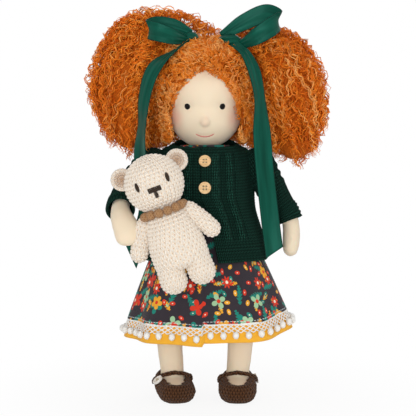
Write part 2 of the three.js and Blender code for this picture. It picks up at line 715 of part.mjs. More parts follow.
for (const [name, side] of [['eye_left', 1], ['eye_right', -1]]) {
  const seat = touch(head.geometry, new THREE.Vector3(side * EYE_SPREAD, -90, CHEEK_Z + EYE_RISE), Y).point;
  const oval = ball(seat.toArray(), [EYE_HALF[0], 1.5, EYE_HALF[1]], [12, 6]);
  piece(name, shaped(mainLump(solid(oval).subtract(headCover))), 'thread');
}
const mouthLine = new THREE.CatmullRomCurve3(Array.from({ length: 7 }, (_, i) => {
  const share = (i - 3) / 3;
  const z = CHEEK_Z - MOUTH_DROP - MOUTH_SAG * (1 - share ** 2);
  const seat = touch(head.geometry, new THREE.Vector3(MOUTH_HALF * share, -90, z), Y).point;
  return seat.add(new THREE.Vector3(0, -0.35, 0));
}));
const threadRound = new THREE.Shape(roundPoints(0, 0, MOUTH_THREAD, 6));
const mouthTube = new THREE.ExtrudeGeometry(threadRound, { extrudePath: mouthLine, steps: 10 });
piece('mouth', shaped(mainLump(solid(mouthTube).subtract(headCover))), 'lips');

const earSolids = [['ear_left', 1], ['ear_right', -1]].map(([name, side]) => {
  const z = CHEEK_Z + EAR_RISE;
  const inward = X.clone().multiplyScalar(-side);
  const seat = touch(shaped(eggTop), new THREE.Vector3(side * 90, -6, z), inward).point;
  const half = [2.6, EAR_RADIUS * 0.7, EAR_RADIUS];
  const place = [seat.x + side * 1.2, seat.y, seat.z];
  piece(name, shaped(mainLump(solid(ball(place, half, [12, 8])).subtract(headCover))), 'skin');
  return solid(ball(place, half.map((k) => k + SEAM), [12, 8]));
});

// Wig: a thick curly cap over the skull, its parting at the top of the face arch, with long side locks.

const capStations = [
  [0, 3, CHEEK_Z - LOCKS_DROP, CHEEK_RADIUS + 4, CHEEK_RADIUS + 1],
  [0, 2, CHEEK_Z - 8, CHEEK_RADIUS + CAP_LOFT, CHEEK_RADIUS + CAP_LOFT - 2],
  [0, 1, CHEEK_Z + 12, SKULL_RADIUS + CAP_LOFT - 1, SKULL_RADIUS + CAP_LOFT - 2],
  [0, 1, SKULL_Z + 10, SKULL_RADIUS + CAP_LOFT - 1, SKULL_RADIUS + CAP_LOFT - 3],
];
const capDome = (CROWN_Z + CAP_LOFT - SKULL_Z - 10) / (SKULL_RADIUS + CAP_LOFT - 3);
const capOuter = solid(stuffed(capStations, { around: 22, dome: [0, capDome] }));
const archTopZ = CHEEK_Z + FACE_ARCH_RISE;
const archFootZ = CHEEK_Z - LOCKS_DROP - 9;
const arch = new THREE.Shape();
arch.moveTo(-FACE_ARCH_HALF, archFootZ);
arch.lineTo(FACE_ARCH_HALF, archFootZ);
arch.lineTo(FACE_ARCH_HALF, CHEEK_Z - 8);
arch.bezierCurveTo(FACE_ARCH_HALF - 2, CHEEK_Z + 16, 17, archTopZ - 8, 0, archTopZ);
arch.bezierCurveTo(-17, archTopZ - 8, 2 - FACE_ARCH_HALF, CHEEK_Z + 16, -FACE_ARCH_HALF, CHEEK_Z - 8);
const archCut = new THREE.ExtrudeGeometry(arch, { depth: 100, bevelEnabled: false, curveSegments: 7 });
archCut.rotateX(Math.PI / 2).translate(0, -8, 0);
const cap = mainLump(capOuter.subtract(headCover).subtract(solid(archCut)).subtract(joined(earSolids)));
piece('hair_cap', shaped(cap), 'hair');
const capCover = solid(stuffed(capStations, { grow: SEAM, around: 22, dome: [0, capDome] }));

/** The two bunches: the right one stands higher, the left one spreads wider. */
const bunches = {
  left: [
    [42, 12, CROWN_Z + 4, 21, 19],
    [72, 11, SKULL_Z + 27, 35, 33],
    [86, 9, SKULL_Z - 10, 36, 36],
    [90, 6, CHEEK_Z - 32, 23, 25],
  ],
  right: [
    [-36, 12, CROWN_Z + 15, 24, 20],
    [-62, 11, SKULL_Z + 36, 37, 34],
    [-76, 9, SKULL_Z - 6, 34, 36],
    [-76, 6, CHEEK_Z - 22, 22, 25],
  ],
};
const shoulderSlope = [
  [0, SHOULDER_Z],
  [110, SHOULDER_Z - 40],
  [110, SHOULDER_Z - 26],
  [80, SHOULDER_Z + 4],
  [52, SHOULDER_Z + SLEEVE_ROOT + 1],
  [0, SHOULDER_Z + SLEEVE_ROOT + 1],
].map(([reach, z]) => new THREE.Vector2(reach, z));
const shoulderRoom = solid(new THREE.LatheGeometry(shoulderSlope, 24).rotateX(Math.PI / 2));
const hairRoom = shoulderRoom.add(capCover);
for (const [side, stations] of Object.entries(bunches)) {
  const bunch = solid(stuffed(stations, { around: 14, between: 2, dome: [0.8, 0.95] }));
  piece(`hair_bunch_${side}`, shaped(mainLump(bunch.subtract(hairRoom))), 'hair');
}

// Ribbons: each bunch is tied with one big loop, a knot sunk in the curls and one long tail.

const UP = [0, 0, 1];
const ribbonHalf = RIBBON_WIDTH / 2;
const bows = {
  left: {
    knot: [[24, -18, CROWN_Z + 6], [11, 5, 5]],
    loop: [
      [34, -22, CROWN_Z + 1, 4, UP],
      [48, -35, CROWN_Z + 7, ribbonHalf - 1, UP],
      [64, -36, CROWN_Z + 17, ribbonHalf, UP],
      [71, -28, CROWN_Z + 24, ribbonHalf, UP],
      [60, -22, CROWN_Z + 31, ribbonHalf, UP],
      [38, -19, CROWN_Z + 23, ribbonHalf - 1, UP],
      [16, -16, CROWN_Z + 10, 4, UP],
    ],
    tail: [
      [28, -22, CROWN_Z + 3, 5, [1, 0.6, 0.6]],
      [38, -31, CROWN_Z - 6, 6, [1, 0.5, 0.2]],
      [46, -38, CROWN_Z - 22, ribbonHalf - 2, [1, 0.5, 0]],
      [52, -43, CROWN_Z - 52, ribbonHalf - 1, [0.8, 0.9, 0]],
      [55, -43, CROWN_Z - 88, ribbonHalf, [1, 0.3, 0]],
      [58, -35, CROWN_Z - 124, ribbonHalf, [1, 0.2, 0]],
      [63, -30, CROWN_Z - 165, ribbonHalf, [1, 0.1, 0]],
      [68, -29, CROWN_Z - 201, ribbonHalf, [1, 0.1, 0]],
    ],
  },
  right: {
    knot: [[-14, -18, CROWN_Z + 8], [8, 5, 5]],
    loop: [
      [-18, -22, CROWN_Z + 6, 4, UP],
      [-32, -36, CROWN_Z + 8, ribbonHalf - 1, UP],
      [-46, -37, CROWN_Z + 12, ribbonHalf, UP],
      [-54, -30, CROWN_Z + 15, ribbonHalf, UP],
      [-46, -25, CROWN_Z + 19, ribbonHalf, UP],
      [-30, -22, CROWN_Z + 18, ribbonHalf - 1, UP],
      [-13, -18, CROWN_Z + 12, 4, UP],
    ],
    tail: [
      [-16, -22, CROWN_Z + 5, 4, [1, -0.6, 0.8]],
      [-29, -31, CROWN_Z - 5, 6, [1, -0.5, 0.4]],
      [-48, -38, CROWN_Z - 22, ribbonHalf - 1, [1, -0.4, 0]],
      [-58, -43, CROWN_Z - 50, ribbonHalf - 1, [0.9, -0.8, 0]],
      [-60, -45, CROWN_Z - 78, ribbonHalf, [0.5, -1, 0]],
      [-61, -43, CROWN_Z - 108, ribbonHalf, [0.8, -0.8, 0]],
      [-56, -36, CROWN_Z - 135, ribbonHalf, [1, -0.2, 0]],
      [-56, -32, CROWN_Z - 165, ribbonHalf, [1, 0, 0]],
      [-72, -30, CROWN_Z - 205, ribbonHalf, [1, 0.1, 0]],
    ],
  },
};
for (const [side, { knot, loop, tail }] of Object.entries(bows)) {
  const [place, half] = knot;
  const bowBody = (grow) => {
    const fold = solid(ribbon(loop, { rows: 20, grow }));
    return fold.add(solid(ball(place, half.map((size) => size + grow), [10, 6])));
  };
  piece(`ribbon_bow_${side}`, shaped(mainLump(bowBody(0).subtract(capCover))), 'ribbon');
  const slant = side === 'left' ? -RIBBON_POINT / 2 : RIBBON_POINT;
  const hanging = solid(ribbon(tail, { rows: 22, point: slant })).subtract(bowBody(SEAM));
  piece(`ribbon_tail_${side}`, shaped(mainLump(hanging)), 'ribbon');
}

// Arms in their sleeves.

for (const [name, arm] of Object.entries(arms)) {
  const limb = solid(stuffed(arm.limbStations, { around: 12 }));
  const limbCover = solid(stuffed(arm.limbStations, { grow: SEAM, around: 12 }));
  piece(`arm_${name}`, shaped(limb), 'skin');
  arm.cover = limbCover;
  const outer = solid(stuffed(arm.sleeveStations, arm.sleeveShape));
  const inner = solid(stuffed(arm.sleeveStations, { ...arm.sleeveShape, grow: -SLEEVE_WALL, reach: [0, 9] }));
  const sleeve = outer.subtract(inner).subtract(beyond(arm.rim, arm.inward)).subtract(limbCover);
  piece(`sleeve_${name}`, shaped(mainLump(sleeve)), 'knit');
}

// Legs, each standing in a crocheted shoe with a buttoned strap.

for (const [name, leg] of Object.entries(legs)) {
  const sole = -HIP_HEIGHT;
  const heelY = 12;
  const toeY = heelY + 20 - FOOT_LENGTH;
  const footStations = [
    [0, heelY, sole + 13, FOOT_HALF - 2.4, 11],
    [0, (heelY + toeY) / 2, sole + FOOT_HIGH / 2 + 2, FOOT_HALF, FOOT_HIGH / 2 + 1],
    [0, toeY, sole + FOOT_HIGH / 2, FOOT_HALF - 0.6, FOOT_HIGH / 2 - 0.5],
  ];
  const footShape = { around: 12, dome: [0.9, 0.9] };
  const ankleStation = leg.limbStations.at(-2);
  const turnIn = (body) => turned(body, new THREE.Vector3(...ankleStation), Z, leg.side * -leg.toeIn);
  const foot = (grow) => {
    const shape = solid(stuffed(footStations, { ...footShape, grow }));
    const bottom = new THREE.Vector3(0, 0, sole + SOLE_THICK + SEAM - grow);
    return turnIn(shape).subtract(beyond(bottom, Z.clone().negate()));
  };
  const limb = solid(stuffed(leg.limbStations, { around: 12, dome: [1, 0.6] }));
  const limbCover = solid(stuffed(leg.limbStations, { grow: SEAM, around: 12, dome: [1, 0.6] }));
  const legSolid = limb.add(foot(0));
  const legCover = limbCover.add(foot(SEAM));
  piece(`leg_${name}`, shaped(mainLump(legSolid)), 'skin', leg.group);

  const upper = turnIn(solid(stuffed(footStations, { ...footShape, grow: SHOE_WALL + SEAM })));
  const throat = new THREE.CylinderGeometry(1, 1, 40, 16).rotateX(Math.PI / 2);
  throat.scale(FOOT_HALF - 2, 19, 1).translate(0, -1, sole + 30);
  const shoe = mainLump(
    upper
      .subtract(beyond(new THREE.Vector3(0, 0, sole), Z.clone().negate()))
      .subtract(turnIn(solid(throat)))
      .subtract(beyond(new THREE.Vector3(0, -12, sole + SHOE_HEIGHT), new THREE.Vector3(0, -0.12, 1)))
      .subtract(legCover),
  );
  const shoeMesh = piece(`shoe_${name}`, shaped(shoe), 'brown', leg.group);

  const buttonAt = new THREE.Vector3(...leg.buttonAt).add(new THREE.Vector3(0, 0, sole));
  const seat = [shoeMesh.geometry, buttonAt, new THREE.Vector3(...leg.buttonAim), leg.group, SEAM];
  const button = sewButton(`shoe_button_${name}`, 'shell', SHOE_BUTTON, ...seat);
  const buttonSpace = new THREE.CylinderGeometry(SHOE_BUTTON / 2 + SEAM, SHOE_BUTTON / 2 + SEAM, 9, 12);
  buttonSpace.rotateX(Math.PI / 2).translate(0, 0, 4.5 - SEAM).applyMatrix4(button.matrix);

  const strapStations = [
    [-19.5, 3, sole + 14],
    [-17.5, -8, sole + 21],
    [0, -14.6, sole + 26.5],
    [17.5, -8, sole + 21],
    [19.5, 3, sole + 14],
  ].map((place) => [...place, STRAP_WIDTH / 2, STRAP_THICK / 2]);
  const strapLine = { around: 8, dome: [0.6, 0.6], side: new THREE.Vector3(0, 0.6, 0.8) };
  const shoeCover = turnIn(solid(stuffed(footStations, { ...footShape, grow: SHOE_WALL + 2 * SEAM })))
    .subtract(beyond(new THREE.Vector3(0, -12, sole + SHOE_HEIGHT + SEAM), new THREE.Vector3(0, -0.12, 1)));
  const strap = turnIn(solid(stuffed(strapStations, strapLine)))
    .subtract(shoeCover)
    .subtract(legCover)
    .subtract(solid(buttonSpace));
  piece(`shoe_strap_${name}`, shaped(mainLump(strap)), 'brown', leg.group);
}

// Bear: crocheted, in a frame of its own with its origin in the middle of the head, tilted in the doll's arm.

const bear = new THREE.Group();
bear.position.set(BEAR_HEAD_PLACE[0], BEAR_HEAD_PLACE[1], NECK_TOP + BEAR_HEAD_PLACE[2]);
bear.rotation.y = rad(-BEAR_TILT);
bear.updateMatrix();
doll.add(bear);
const toBear = bear.matrix.clone().invert();

/** A solid of the doll as it lies in the bear's own frame. */
function inBearFrame(body) {
  return body.transform(toBear.toArray());
}
const bearHeadHalf = [BEAR_HEAD + 0.5, BEAR_HEAD - 3, BEAR_HEAD];
const bearHeadSolid = solid(ball([0, 0, 0], bearHeadHalf, [18, 12]));
const bearHeadCover = solid(ball([0, 0, 0], bearHeadHalf.map((half) => half + SEAM), [18, 12]));
const bearBodyStations = [
  [0, 0, -BEAR_HEAD - 1, 17, 14],
  [0, 0, -BEAR_HEAD - 17, BEAR_BODY - 5, 17],
  [0, 0, -BEAR_HEAD - 35, BEAR_BODY - 1, 18],
  [0, 0, -BEAR_HEAD - 49, BEAR_BODY - 1, 17],
];
const bearBodyShape = { around: 18, between: 1, dome: [0.3, 0.45] };
const bearBodyCover = solid(stuffed(bearBodyStations, { ...bearBodyShape, grow: SEAM }));
const shoulderZ = -BEAR_HEAD - 7;
const bearArmStations = (side) => [
  [side * 22.5, 1, shoulderZ, BEAR_LIMB - 0.5, BEAR_LIMB - 0.5],
  [side * 30, 1, shoulderZ - 12, BEAR_LIMB, BEAR_LIMB],
  [side * 36, 0, shoulderZ - 23, BEAR_LIMB, BEAR_LIMB],
];
const bearShoulder = new THREE.Vector3(...bearArmStations(1)[0].slice(0, 3));
const freeArm = solid(stuffed(bearArmStations(1), { around: 12 }));
const freeArmCover = solid(stuffed(bearArmStations(1), { grow: 2 * SEAM, around: 12 }));
const freeArmRaised = turned(freeArmCover, bearShoulder, Y, -BEAR_ARM_LIFT);
piece('bear_head', shaped(bearHeadSolid), 'cream', bear);
const bearTrunk = solid(stuffed(bearBodyStations, bearBodyShape));
const bearBody = mainLump(bearTrunk.subtract(bearHeadCover).subtract(freeArmCover));
piece('bear_body', shaped(bearBody), 'cream', bear);
piece('bear_arm_left', shaped(freeArm.subtract(bearHeadCover)), 'cream', bear);
const heldArmStations = bearArmStations(-1).map(([x, y, z, ...half]) => [x, y + 4, z, ...half]);
const heldArm = solid(stuffed(heldArmStations, { around: 12 }));
const heldArmCover = solid(stuffed(heldArmStations, { grow: SEAM, around: 12 }));
const heldCut = heldArm
  .subtract(bearBodyCover)
  .subtract(bearHeadCover)
  .subtract(inBearFrame(arms.right.cover));
piece('bear_arm_right', shaped(mainLump(heldCut)), 'cream', bear);

for (const [name, side] of [['left', 1], ['right', -1]]) {
  const legStations = [
    [side * (BEAR_LEG + 0.8), 0, -BEAR_TALL + 30, BEAR_LEG - 0.5, BEAR_LEG - 1],
    [side * (BEAR_LEG + 1.4), -2, -BEAR_TALL + BEAR_LEG, BEAR_LEG, BEAR_LEG - 0.5],
  ];
  const leg = solid(stuffed(legStations, { around: 14, dome: [0.5, 0.98] })).subtract(bearBodyCover);
  piece(`bear_leg_${name}`, shaped(mainLump(leg)), 'cream', bear);

  const ear = solid(ball([side * BEAR_HEAD, 2, BEAR_HEAD / 2], [BEAR_EAR, 5, BEAR_EAR], [14, 6]));
  const dish = solid(ball([side * (BEAR_HEAD + 0.5), -5, BEAR_HEAD / 2 + 0.5], [7, 4.5, 7], [10, 6]));
  piece(`bear_ear_${name}`, shaped(mainLump(ear.subtract(dish).subtract(bearHeadCover))), 'cream', bear);

  const eyeFrom = new THREE.Vector3(side * BEAR_EYE_SPREAD, -60, 2);
  const eyeSeat = touch(shaped(bearHeadSolid), eyeFrom, Y).point;
  const eye = solid(ball(eyeSeat.toArray(), [1.6, 1.4, 3.2], [10, 6]));
  piece(`bear_eye_${name}`, shaped(mainLump(eye.subtract(bearHeadCover))), 'bearThread', bear);
}

const noseBar = BEAR_NOSE / 2;
const noseShape = new THREE.Shape()
  .moveTo(-noseBar, -2.6)
  .lineTo(noseBar, -2.6)
  .lineTo(noseBar, -6.9)
  .lineTo(1.8, -6.9)
  .lineTo(1.8, -12)
  .lineTo(-1.8, -12)
  .lineTo(-1.8, -6.9)
  .lineTo(-noseBar, -6.9);
const noseBlock = new THREE.ExtrudeGeometry(noseShape, { depth: 12, bevelEnabled: false });
noseBlock.rotateX(Math.PI / 2).translate(0, -BEAR_HEAD + 13, 0);
piece('bear_nose', shaped(mainLump(solid(noseBlock).subtract(bearHeadCover))), 'bearThread', bear);

const collarRing = new THREE.TorusGeometry(BEAR_NECKLACE, 2, 4, BOBBLES).translate(0, 0, -BEAR_HEAD + 0.5);
const bobbles = Array.from({ length: BOBBLES }, (_, i) => {
  const turn = (2 * Math.PI * i) / BOBBLES;
  const place = [BEAR_NECKLACE * Math.cos(turn), BEAR_NECKLACE * Math.sin(turn), -BEAR_HEAD + 0.5];
  return solid(new THREE.IcosahedronGeometry(BOBBLE_RADIUS).translate(...place));
});
const collar = joined([solid(collarRing), ...bobbles])
  .subtract(bearHeadCover)
  .subtract(bearBodyCover)
  .subtract(heldArmCover)
  .subtract(freeArmCover)
  .subtract(freeArmRaised);
piece('bear_collar', shaped(mainLump(collar)), 'bobble', bear);

// The origin lies under the middle of the figure, on the ground.
doll.updateMatrixWorld(true);
const reach = new THREE.Box3().setFromObject(doll, true).getCenter(new THREE.Vector3());
doll.position.set(-reach.x, -reach.y, 0);

export default doll;
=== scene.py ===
"""A cloth doll holding a crocheted bear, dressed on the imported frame. Metres; the doll faces -Y."""

import math

import bpy
import numpy as np
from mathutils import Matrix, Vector, noise


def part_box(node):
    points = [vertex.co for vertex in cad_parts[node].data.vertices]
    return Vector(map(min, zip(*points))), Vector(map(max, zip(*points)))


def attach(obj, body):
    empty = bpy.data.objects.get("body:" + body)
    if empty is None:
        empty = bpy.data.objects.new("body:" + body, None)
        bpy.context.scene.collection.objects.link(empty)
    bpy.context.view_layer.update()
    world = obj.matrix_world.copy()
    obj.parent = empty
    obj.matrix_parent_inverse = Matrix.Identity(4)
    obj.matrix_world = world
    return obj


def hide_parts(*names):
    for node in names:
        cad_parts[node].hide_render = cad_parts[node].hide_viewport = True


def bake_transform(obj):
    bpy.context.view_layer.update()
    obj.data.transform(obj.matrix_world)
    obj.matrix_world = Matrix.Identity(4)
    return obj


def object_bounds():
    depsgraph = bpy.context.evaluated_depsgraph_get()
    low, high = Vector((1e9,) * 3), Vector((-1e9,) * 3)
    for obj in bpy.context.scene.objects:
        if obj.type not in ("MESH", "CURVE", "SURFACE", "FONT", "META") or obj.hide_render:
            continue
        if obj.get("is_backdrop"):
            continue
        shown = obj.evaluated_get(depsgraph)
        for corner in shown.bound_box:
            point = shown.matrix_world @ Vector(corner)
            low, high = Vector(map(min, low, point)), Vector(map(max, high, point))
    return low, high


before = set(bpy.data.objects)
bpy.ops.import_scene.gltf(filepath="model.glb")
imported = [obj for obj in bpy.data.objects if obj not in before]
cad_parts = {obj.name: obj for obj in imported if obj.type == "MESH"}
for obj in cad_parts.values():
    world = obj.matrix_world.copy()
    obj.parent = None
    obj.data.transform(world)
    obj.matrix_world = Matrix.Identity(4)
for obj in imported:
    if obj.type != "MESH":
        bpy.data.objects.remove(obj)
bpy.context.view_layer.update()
bpy.ops.object.select_all(action="DESELECT")

# ------------------------------------------------------------------ Studio
# A white sweep under soft lamps, and the camera a metre in front of the doll at chest height, looking a little
# down. The floor fades into the white round it and keeps the doll's shadow.
CAMERA_AT = (-0.00276, -0.9828, 0.250)
CAMERA_DIP = 3.43
LENS = 86.54
SKY_LIGHT = 0.54  # how strongly the white sky lights the doll; it shows at full strength
LAMPS = (  # name, place, side of its square, watts
    ("key_lamp", (-0.75, -1.25, 1.15), 0.8, 1.8),
    ("fill_lamp", (1.2, -0.9, 0.5), 1.0, 2.1),
    ("low_lamp", (-0.1, -1.5, 0.08), 0.9, 17.5),
    ("back_lamp", (0.5, 1.3, 1.2), 0.9, 6.0),
)
LAMPS_AIM = (0, 0, 0.2)
FLOOR_SIZE, FLOOR_DROP = 8, 0.0003
FLOOR_FADE = (0.06, 0.30, 0.90, 1.0)  # from this distance to that one, white goes from this share to that one

camera = bpy.data.objects.new("camera", bpy.data.cameras.new("camera"))
camera.data.lens = LENS
camera.data.sensor_width = 36
camera.location = CAMERA_AT
camera.rotation_euler = (math.radians(90 - CAMERA_DIP), 0, 0)
bpy.context.scene.collection.objects.link(camera)
bpy.context.scene.camera = camera
bpy.context.scene.view_settings.view_transform = "Standard"


def put(tree, kind, feeds=None, **settings):
    """Adds a shader node. `feeds` fills its inputs, by name or number, with values or other nodes' outputs."""
    made = tree.nodes.new("ShaderNode" + kind)
    for name, value in settings.items():
        setattr(made, name, value)
    for socket, value in (feeds or {}).items():
        if isinstance(value, bpy.types.NodeSocket):
            tree.links.new(value, made.inputs[socket])
        else:
            made.inputs[socket].default_value = value
    return made


def calc(tree, operation, *terms, clamp=False):
    """One step of arithmetic between node outputs and numbers, as an output."""
    node = put(tree, "Math", dict(enumerate(terms)), operation=operation, use_clamp=clamp)
    return node.outputs[0]


def ranged(tree, value, low, high, to_low=0.0, to_high=1.0, curve="LINEAR"):
    """A value carried from one range to another, as an output."""
    feeds = {0: value, 1: low, 2: high, 3: to_low, 4: to_high}
    return put(tree, "MapRange", feeds, interpolation_type=curve).outputs[0]


def lit_as_white(tree):
    """1 where the camera, a reflection or glass sees the surface, and 0 where it only lights the doll."""
    path = put(tree, "LightPath").outputs
    seen = calc(tree, "MAXIMUM", path["Is Camera Ray"], path["Is Glossy Ray"])
    return calc(tree, "MAXIMUM", seen, path["Is Transmission Ray"])


world = bpy.data.worlds.new("studio")
world.use_nodes = True
bpy.context.scene.world = world
sky = world.node_tree.nodes["Background"]
sky.inputs["Color"].default_value = (1, 1, 1, 1)
tree = world.node_tree
strength = calc(tree, "MULTIPLY_ADD", lit_as_white(tree), 1 - SKY_LIGHT, SKY_LIGHT)
tree.links.new(strength, sky.inputs["Strength"])

for name, place, size, watts in LAMPS:
    lamp = bpy.data.objects.new(name, bpy.data.lights.new(name, "AREA"))
    lamp.data.size, lamp.data.energy = size, watts
    lamp.location = place
    lamp.rotation_euler = (Vector(LAMPS_AIM) - Vector(place)).to_track_quat("-Z", "Y").to_euler()
    bpy.context.scene.collection.objects.link(lamp)

bpy.ops.mesh.primitive_plane_add(size=FLOOR_SIZE, location=(0, 0, -FLOOR_DROP))
floor = bpy.context.object
floor.name = "floor"
floor_look = bpy.data.materials.new("white_sweep")
floor_look.use_nodes = True
tree = floor_look.node_tree
paper = tree.nodes["Principled BSDF"]
paper.inputs["Base Color"].default_value = (0.93, 0.93, 0.925, 1)
paper.inputs["Roughness"].default_value = 0.9
paper.inputs["Specular IOR Level"].default_value = 0.1
glow = put(tree, "Emission", {"Color": (1, 1, 1, 1), "Strength": 1.0}).outputs[0]
spread = put(tree, "VectorMath", {0: put(tree, "TexCoord").outputs["Object"]}, operation="LENGTH").outputs["Value"]
share = calc(tree, "MULTIPLY", ranged(tree, spread, *FLOOR_FADE, "SMOOTHSTEP"), lit_as_white(tree))
mixed = put(tree, "MixShader", {0: share, 1: paper.outputs[0], 2: glow})
tree.links.new(mixed.outputs[0], tree.nodes["Material Output"].inputs["Surface"])
floor.data.materials.append(floor_look)
floor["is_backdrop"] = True

# ------------------------------------------------------------------ Trunk, neck and head core
# The trunk is cotton stuffed hard with wool, and the head is wound on a ball of wool yarn. Both are hidden by the
# clothes and the skin, so each follows its solid. The neck is the tied-off end of the head's skin.
TRICOT, TRICOT_SHADE, ROUGE = "#ebdabf", "#e2cbae", "#e2735f"
WOOL, WOOL_SHADE = "#efe7d6", "#dccfb4"
WALE = 0.0011
STUFFING_PRESSURE, STUFFING_STEPS = 4, 20


def paint(code):
    """A colour written as #rrggbb, as the four numbers that a node takes."""
    parts = [int(code[i : i + 2], 16) / 255 for i in (1, 3, 5)]
    return [c / 12.92 if c <= 0.04045 else ((c + 0.055) / 1.055) ** 2.4 for c in parts] + [1.0]  # from sRGB


def finish(name, **sockets):
    """A node material whose shader has these plain values; returns it with its tree and shader."""
    material = bpy.data.materials.new(name)
    material.use_nodes = True
    shader = material.node_tree.nodes["Principled BSDF"]
    for socket, value in sockets.items():
        shader.inputs[socket.replace("_", " ")].default_value = value
    return material, material.node_tree, shader


def blended(tree, share, low, high, how="MIX"):
    """Two colours mixed by a share, as an output."""
    return put(tree, "MixRGB", {0: share, 1: low, 2: high}, blend_type=how).outputs[0]


def coloured(tree, shader, colour):
    """Makes an output the colour of a finish."""
    tree.links.new(colour, shader.inputs["Base Color"])


def on_piece(tree):
    """Where on the doll a point of the surface is, in metres, as an output."""
    return put(tree, "TexCoord").outputs["Object"]


def noted(tree, name):
    """The number that a piece keeps for each of its points, as an output."""
    return put(tree, "Attribute", attribute_name=name).outputs["Fac"]


def raised(tree, shader, height, distance, strength=1.0, under=None):
    """Feeds a height in steps of `distance` metres to the shader's normal, over another bump if one is given."""
    feeds = {"Height": height, "Distance": distance, "Strength": strength}
    if under is not None:
        feeds["Normal"] = under
    bump = put(tree, "Bump", feeds).outputs[0]
    tree.links.new(bump, shader.inputs["Normal"])
    return bump


def node_group(name, inputs, outputs):
    """An empty shader group with these float or vector sockets; returns it with its inner ends."""
    made = bpy.data.node_groups.new(name, "ShaderNodeTree")
    for socket in inputs:
        kind = "NodeSocketVector" if socket == "Vector" else "NodeSocketFloat"
        made.interface.new_socket(socket, in_out="INPUT", socket_type=kind)
    for socket in outputs:
        made.interface.new_socket(socket, in_out="OUTPUT", socket_type="NodeSocketFloat")
    return made, made.nodes.new("NodeGroupInput"), made.nodes.new("NodeGroupOutput")


def use_group(tree, made, feeds):
    """Places a group in a material with its own values, and returns its outputs."""
    return put(tree, "Group", feeds, node_tree=made).outputs


# Fibres: a matted haze of short hairs, as Haze for the height, and slow patches of tone, as Patch.
fibres, fibres_in, fibres_out = node_group("fibres", ["Vector", "Hair width", "Patch width"], ["Haze", "Patch"])
for wide, out, detail in (("Hair width", "Haze", 5.0), ("Patch width", "Patch", 2.0)):
    scale = calc(fibres, "DIVIDE", 1.0, fibres_in.outputs[wide])
    cloud = put(fibres, "TexNoise", {"Vector": fibres_in.outputs["Vector"], "Scale": scale, "Detail": detail,
                                     "Roughness": 0.65})
    fibres.links.new(cloud.outputs[0], fibres_out.inputs[out])


def matted(tree, along, hair, patch):
    """The haze and the patches of fibres of this width, laid along a surface."""
    return use_group(tree, fibres, {"Vector": along, "Hair width": hair, "Patch width": patch})


# Jersey: the fine wales of cotton tricot across X, with the courses across Z.
jersey, jersey_in, jersey_out = node_group("jersey", ["Vector", "Wale"], ["Height"])
axes = put(jersey, "SeparateXYZ", {0: jersey_in.outputs["Vector"]}).outputs
turns = calc(jersey, "DIVIDE", 2 * math.pi, jersey_in.outputs["Wale"])
wale = calc(jersey, "ABSOLUTE", calc(jersey, "SINE", calc(jersey, "MULTIPLY", axes["X"], turns)))
course = calc(jersey, "SINE", calc(jersey, "MULTIPLY", axes["Z"], turns))
jersey.links.new(calc(jersey, "MULTIPLY_ADD", course, 0.25, wale), jersey_out.inputs["Height"])


def tricot(name, blush=()):
    """Matte cotton tricot in skin colour, with rouge dabbed on at places of (point, reach, share)."""
    material, tree, shader = finish(name, Roughness=0.86, Specular_IOR_Level=0.18, Sheen_Weight=0.25,
                                    Sheen_Roughness=0.5, Subsurface_Weight=0.08, Subsurface_Scale=0.003)
    place = on_piece(tree)
    haze, patch = matted(tree, place, 0.0007, 0.02)
    colour = blended(tree, calc(tree, "MULTIPLY", patch, 0.35), paint(TRICOT), paint(TRICOT_SHADE))
    for centre, reach, share in blush:
        away = put(tree, "VectorMath", {0: place, 1: centre}, operation="DISTANCE").outputs["Value"]
        dab = ranged(tree, away, reach, 0.0, 0.0, share, "SMOOTHERSTEP")
        colour = blended(tree, dab, colour, paint(ROUGE))
    coloured(tree, shader, colour)
    under = raised(tree, shader, use_group(tree, jersey, {"Vector": place, "Wale": WALE})[0], 0.00008, 0.6)
    raised(tree, shader, haze, 0.0002, 0.5, under)
    return material


def only(piece):
    """Makes a piece the one that operators act on."""
    bpy.ops.object.select_all(action="DESELECT")
    piece.select_set(True)
    bpy.context.view_layer.objects.active = piece


def copied(name, node):
    """A merged copy of a solid's mesh as a new piece."""
    piece = bpy.data.objects.new(name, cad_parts[node].data.copy())
    bpy.context.scene.collection.objects.link(piece)
    piece.data.materials.clear()
    only(piece)
    bpy.ops.object.mode_set(mode="EDIT")
    bpy.ops.mesh.select_all(action="SELECT")
    bpy.ops.mesh.remove_doubles(threshold=1e-6)
    bpy.ops.object.mode_set(mode="OBJECT")
    return piece


def apply_all(piece):
    """Applies every modifier of a piece in order."""
    only(piece)
    for modifier in list(piece.modifiers):
        bpy.ops.object.modifier_apply(modifier=modifier.name)


def coordinates(piece):
    """A piece's points in metres, as an array."""
    found = np.empty(len(piece.data.vertices) * 3, np.float32)
    piece.data.vertices.foreach_get("co", found)
    return found.reshape(-1, 3).astype(float)


def set_coordinates(piece, metres):
    """Moves a piece's points to these places."""
    piece.data.vertices.foreach_set("co", np.asarray(metres, np.float32).ravel())


def softened(name, node, voxel, settle):
    """A solid's copy with its edges rounded: rebuilt from voxels of this size and smoothed this many times."""
    piece = copied(name, node)
    piece.modifiers.new("voxels", "REMESH").voxel_size = voxel
    soft = piece.modifiers.new("settle", "SMOOTH")
    soft.factor, soft.iterations = 0.5, settle
    apply_all(piece)
    return piece


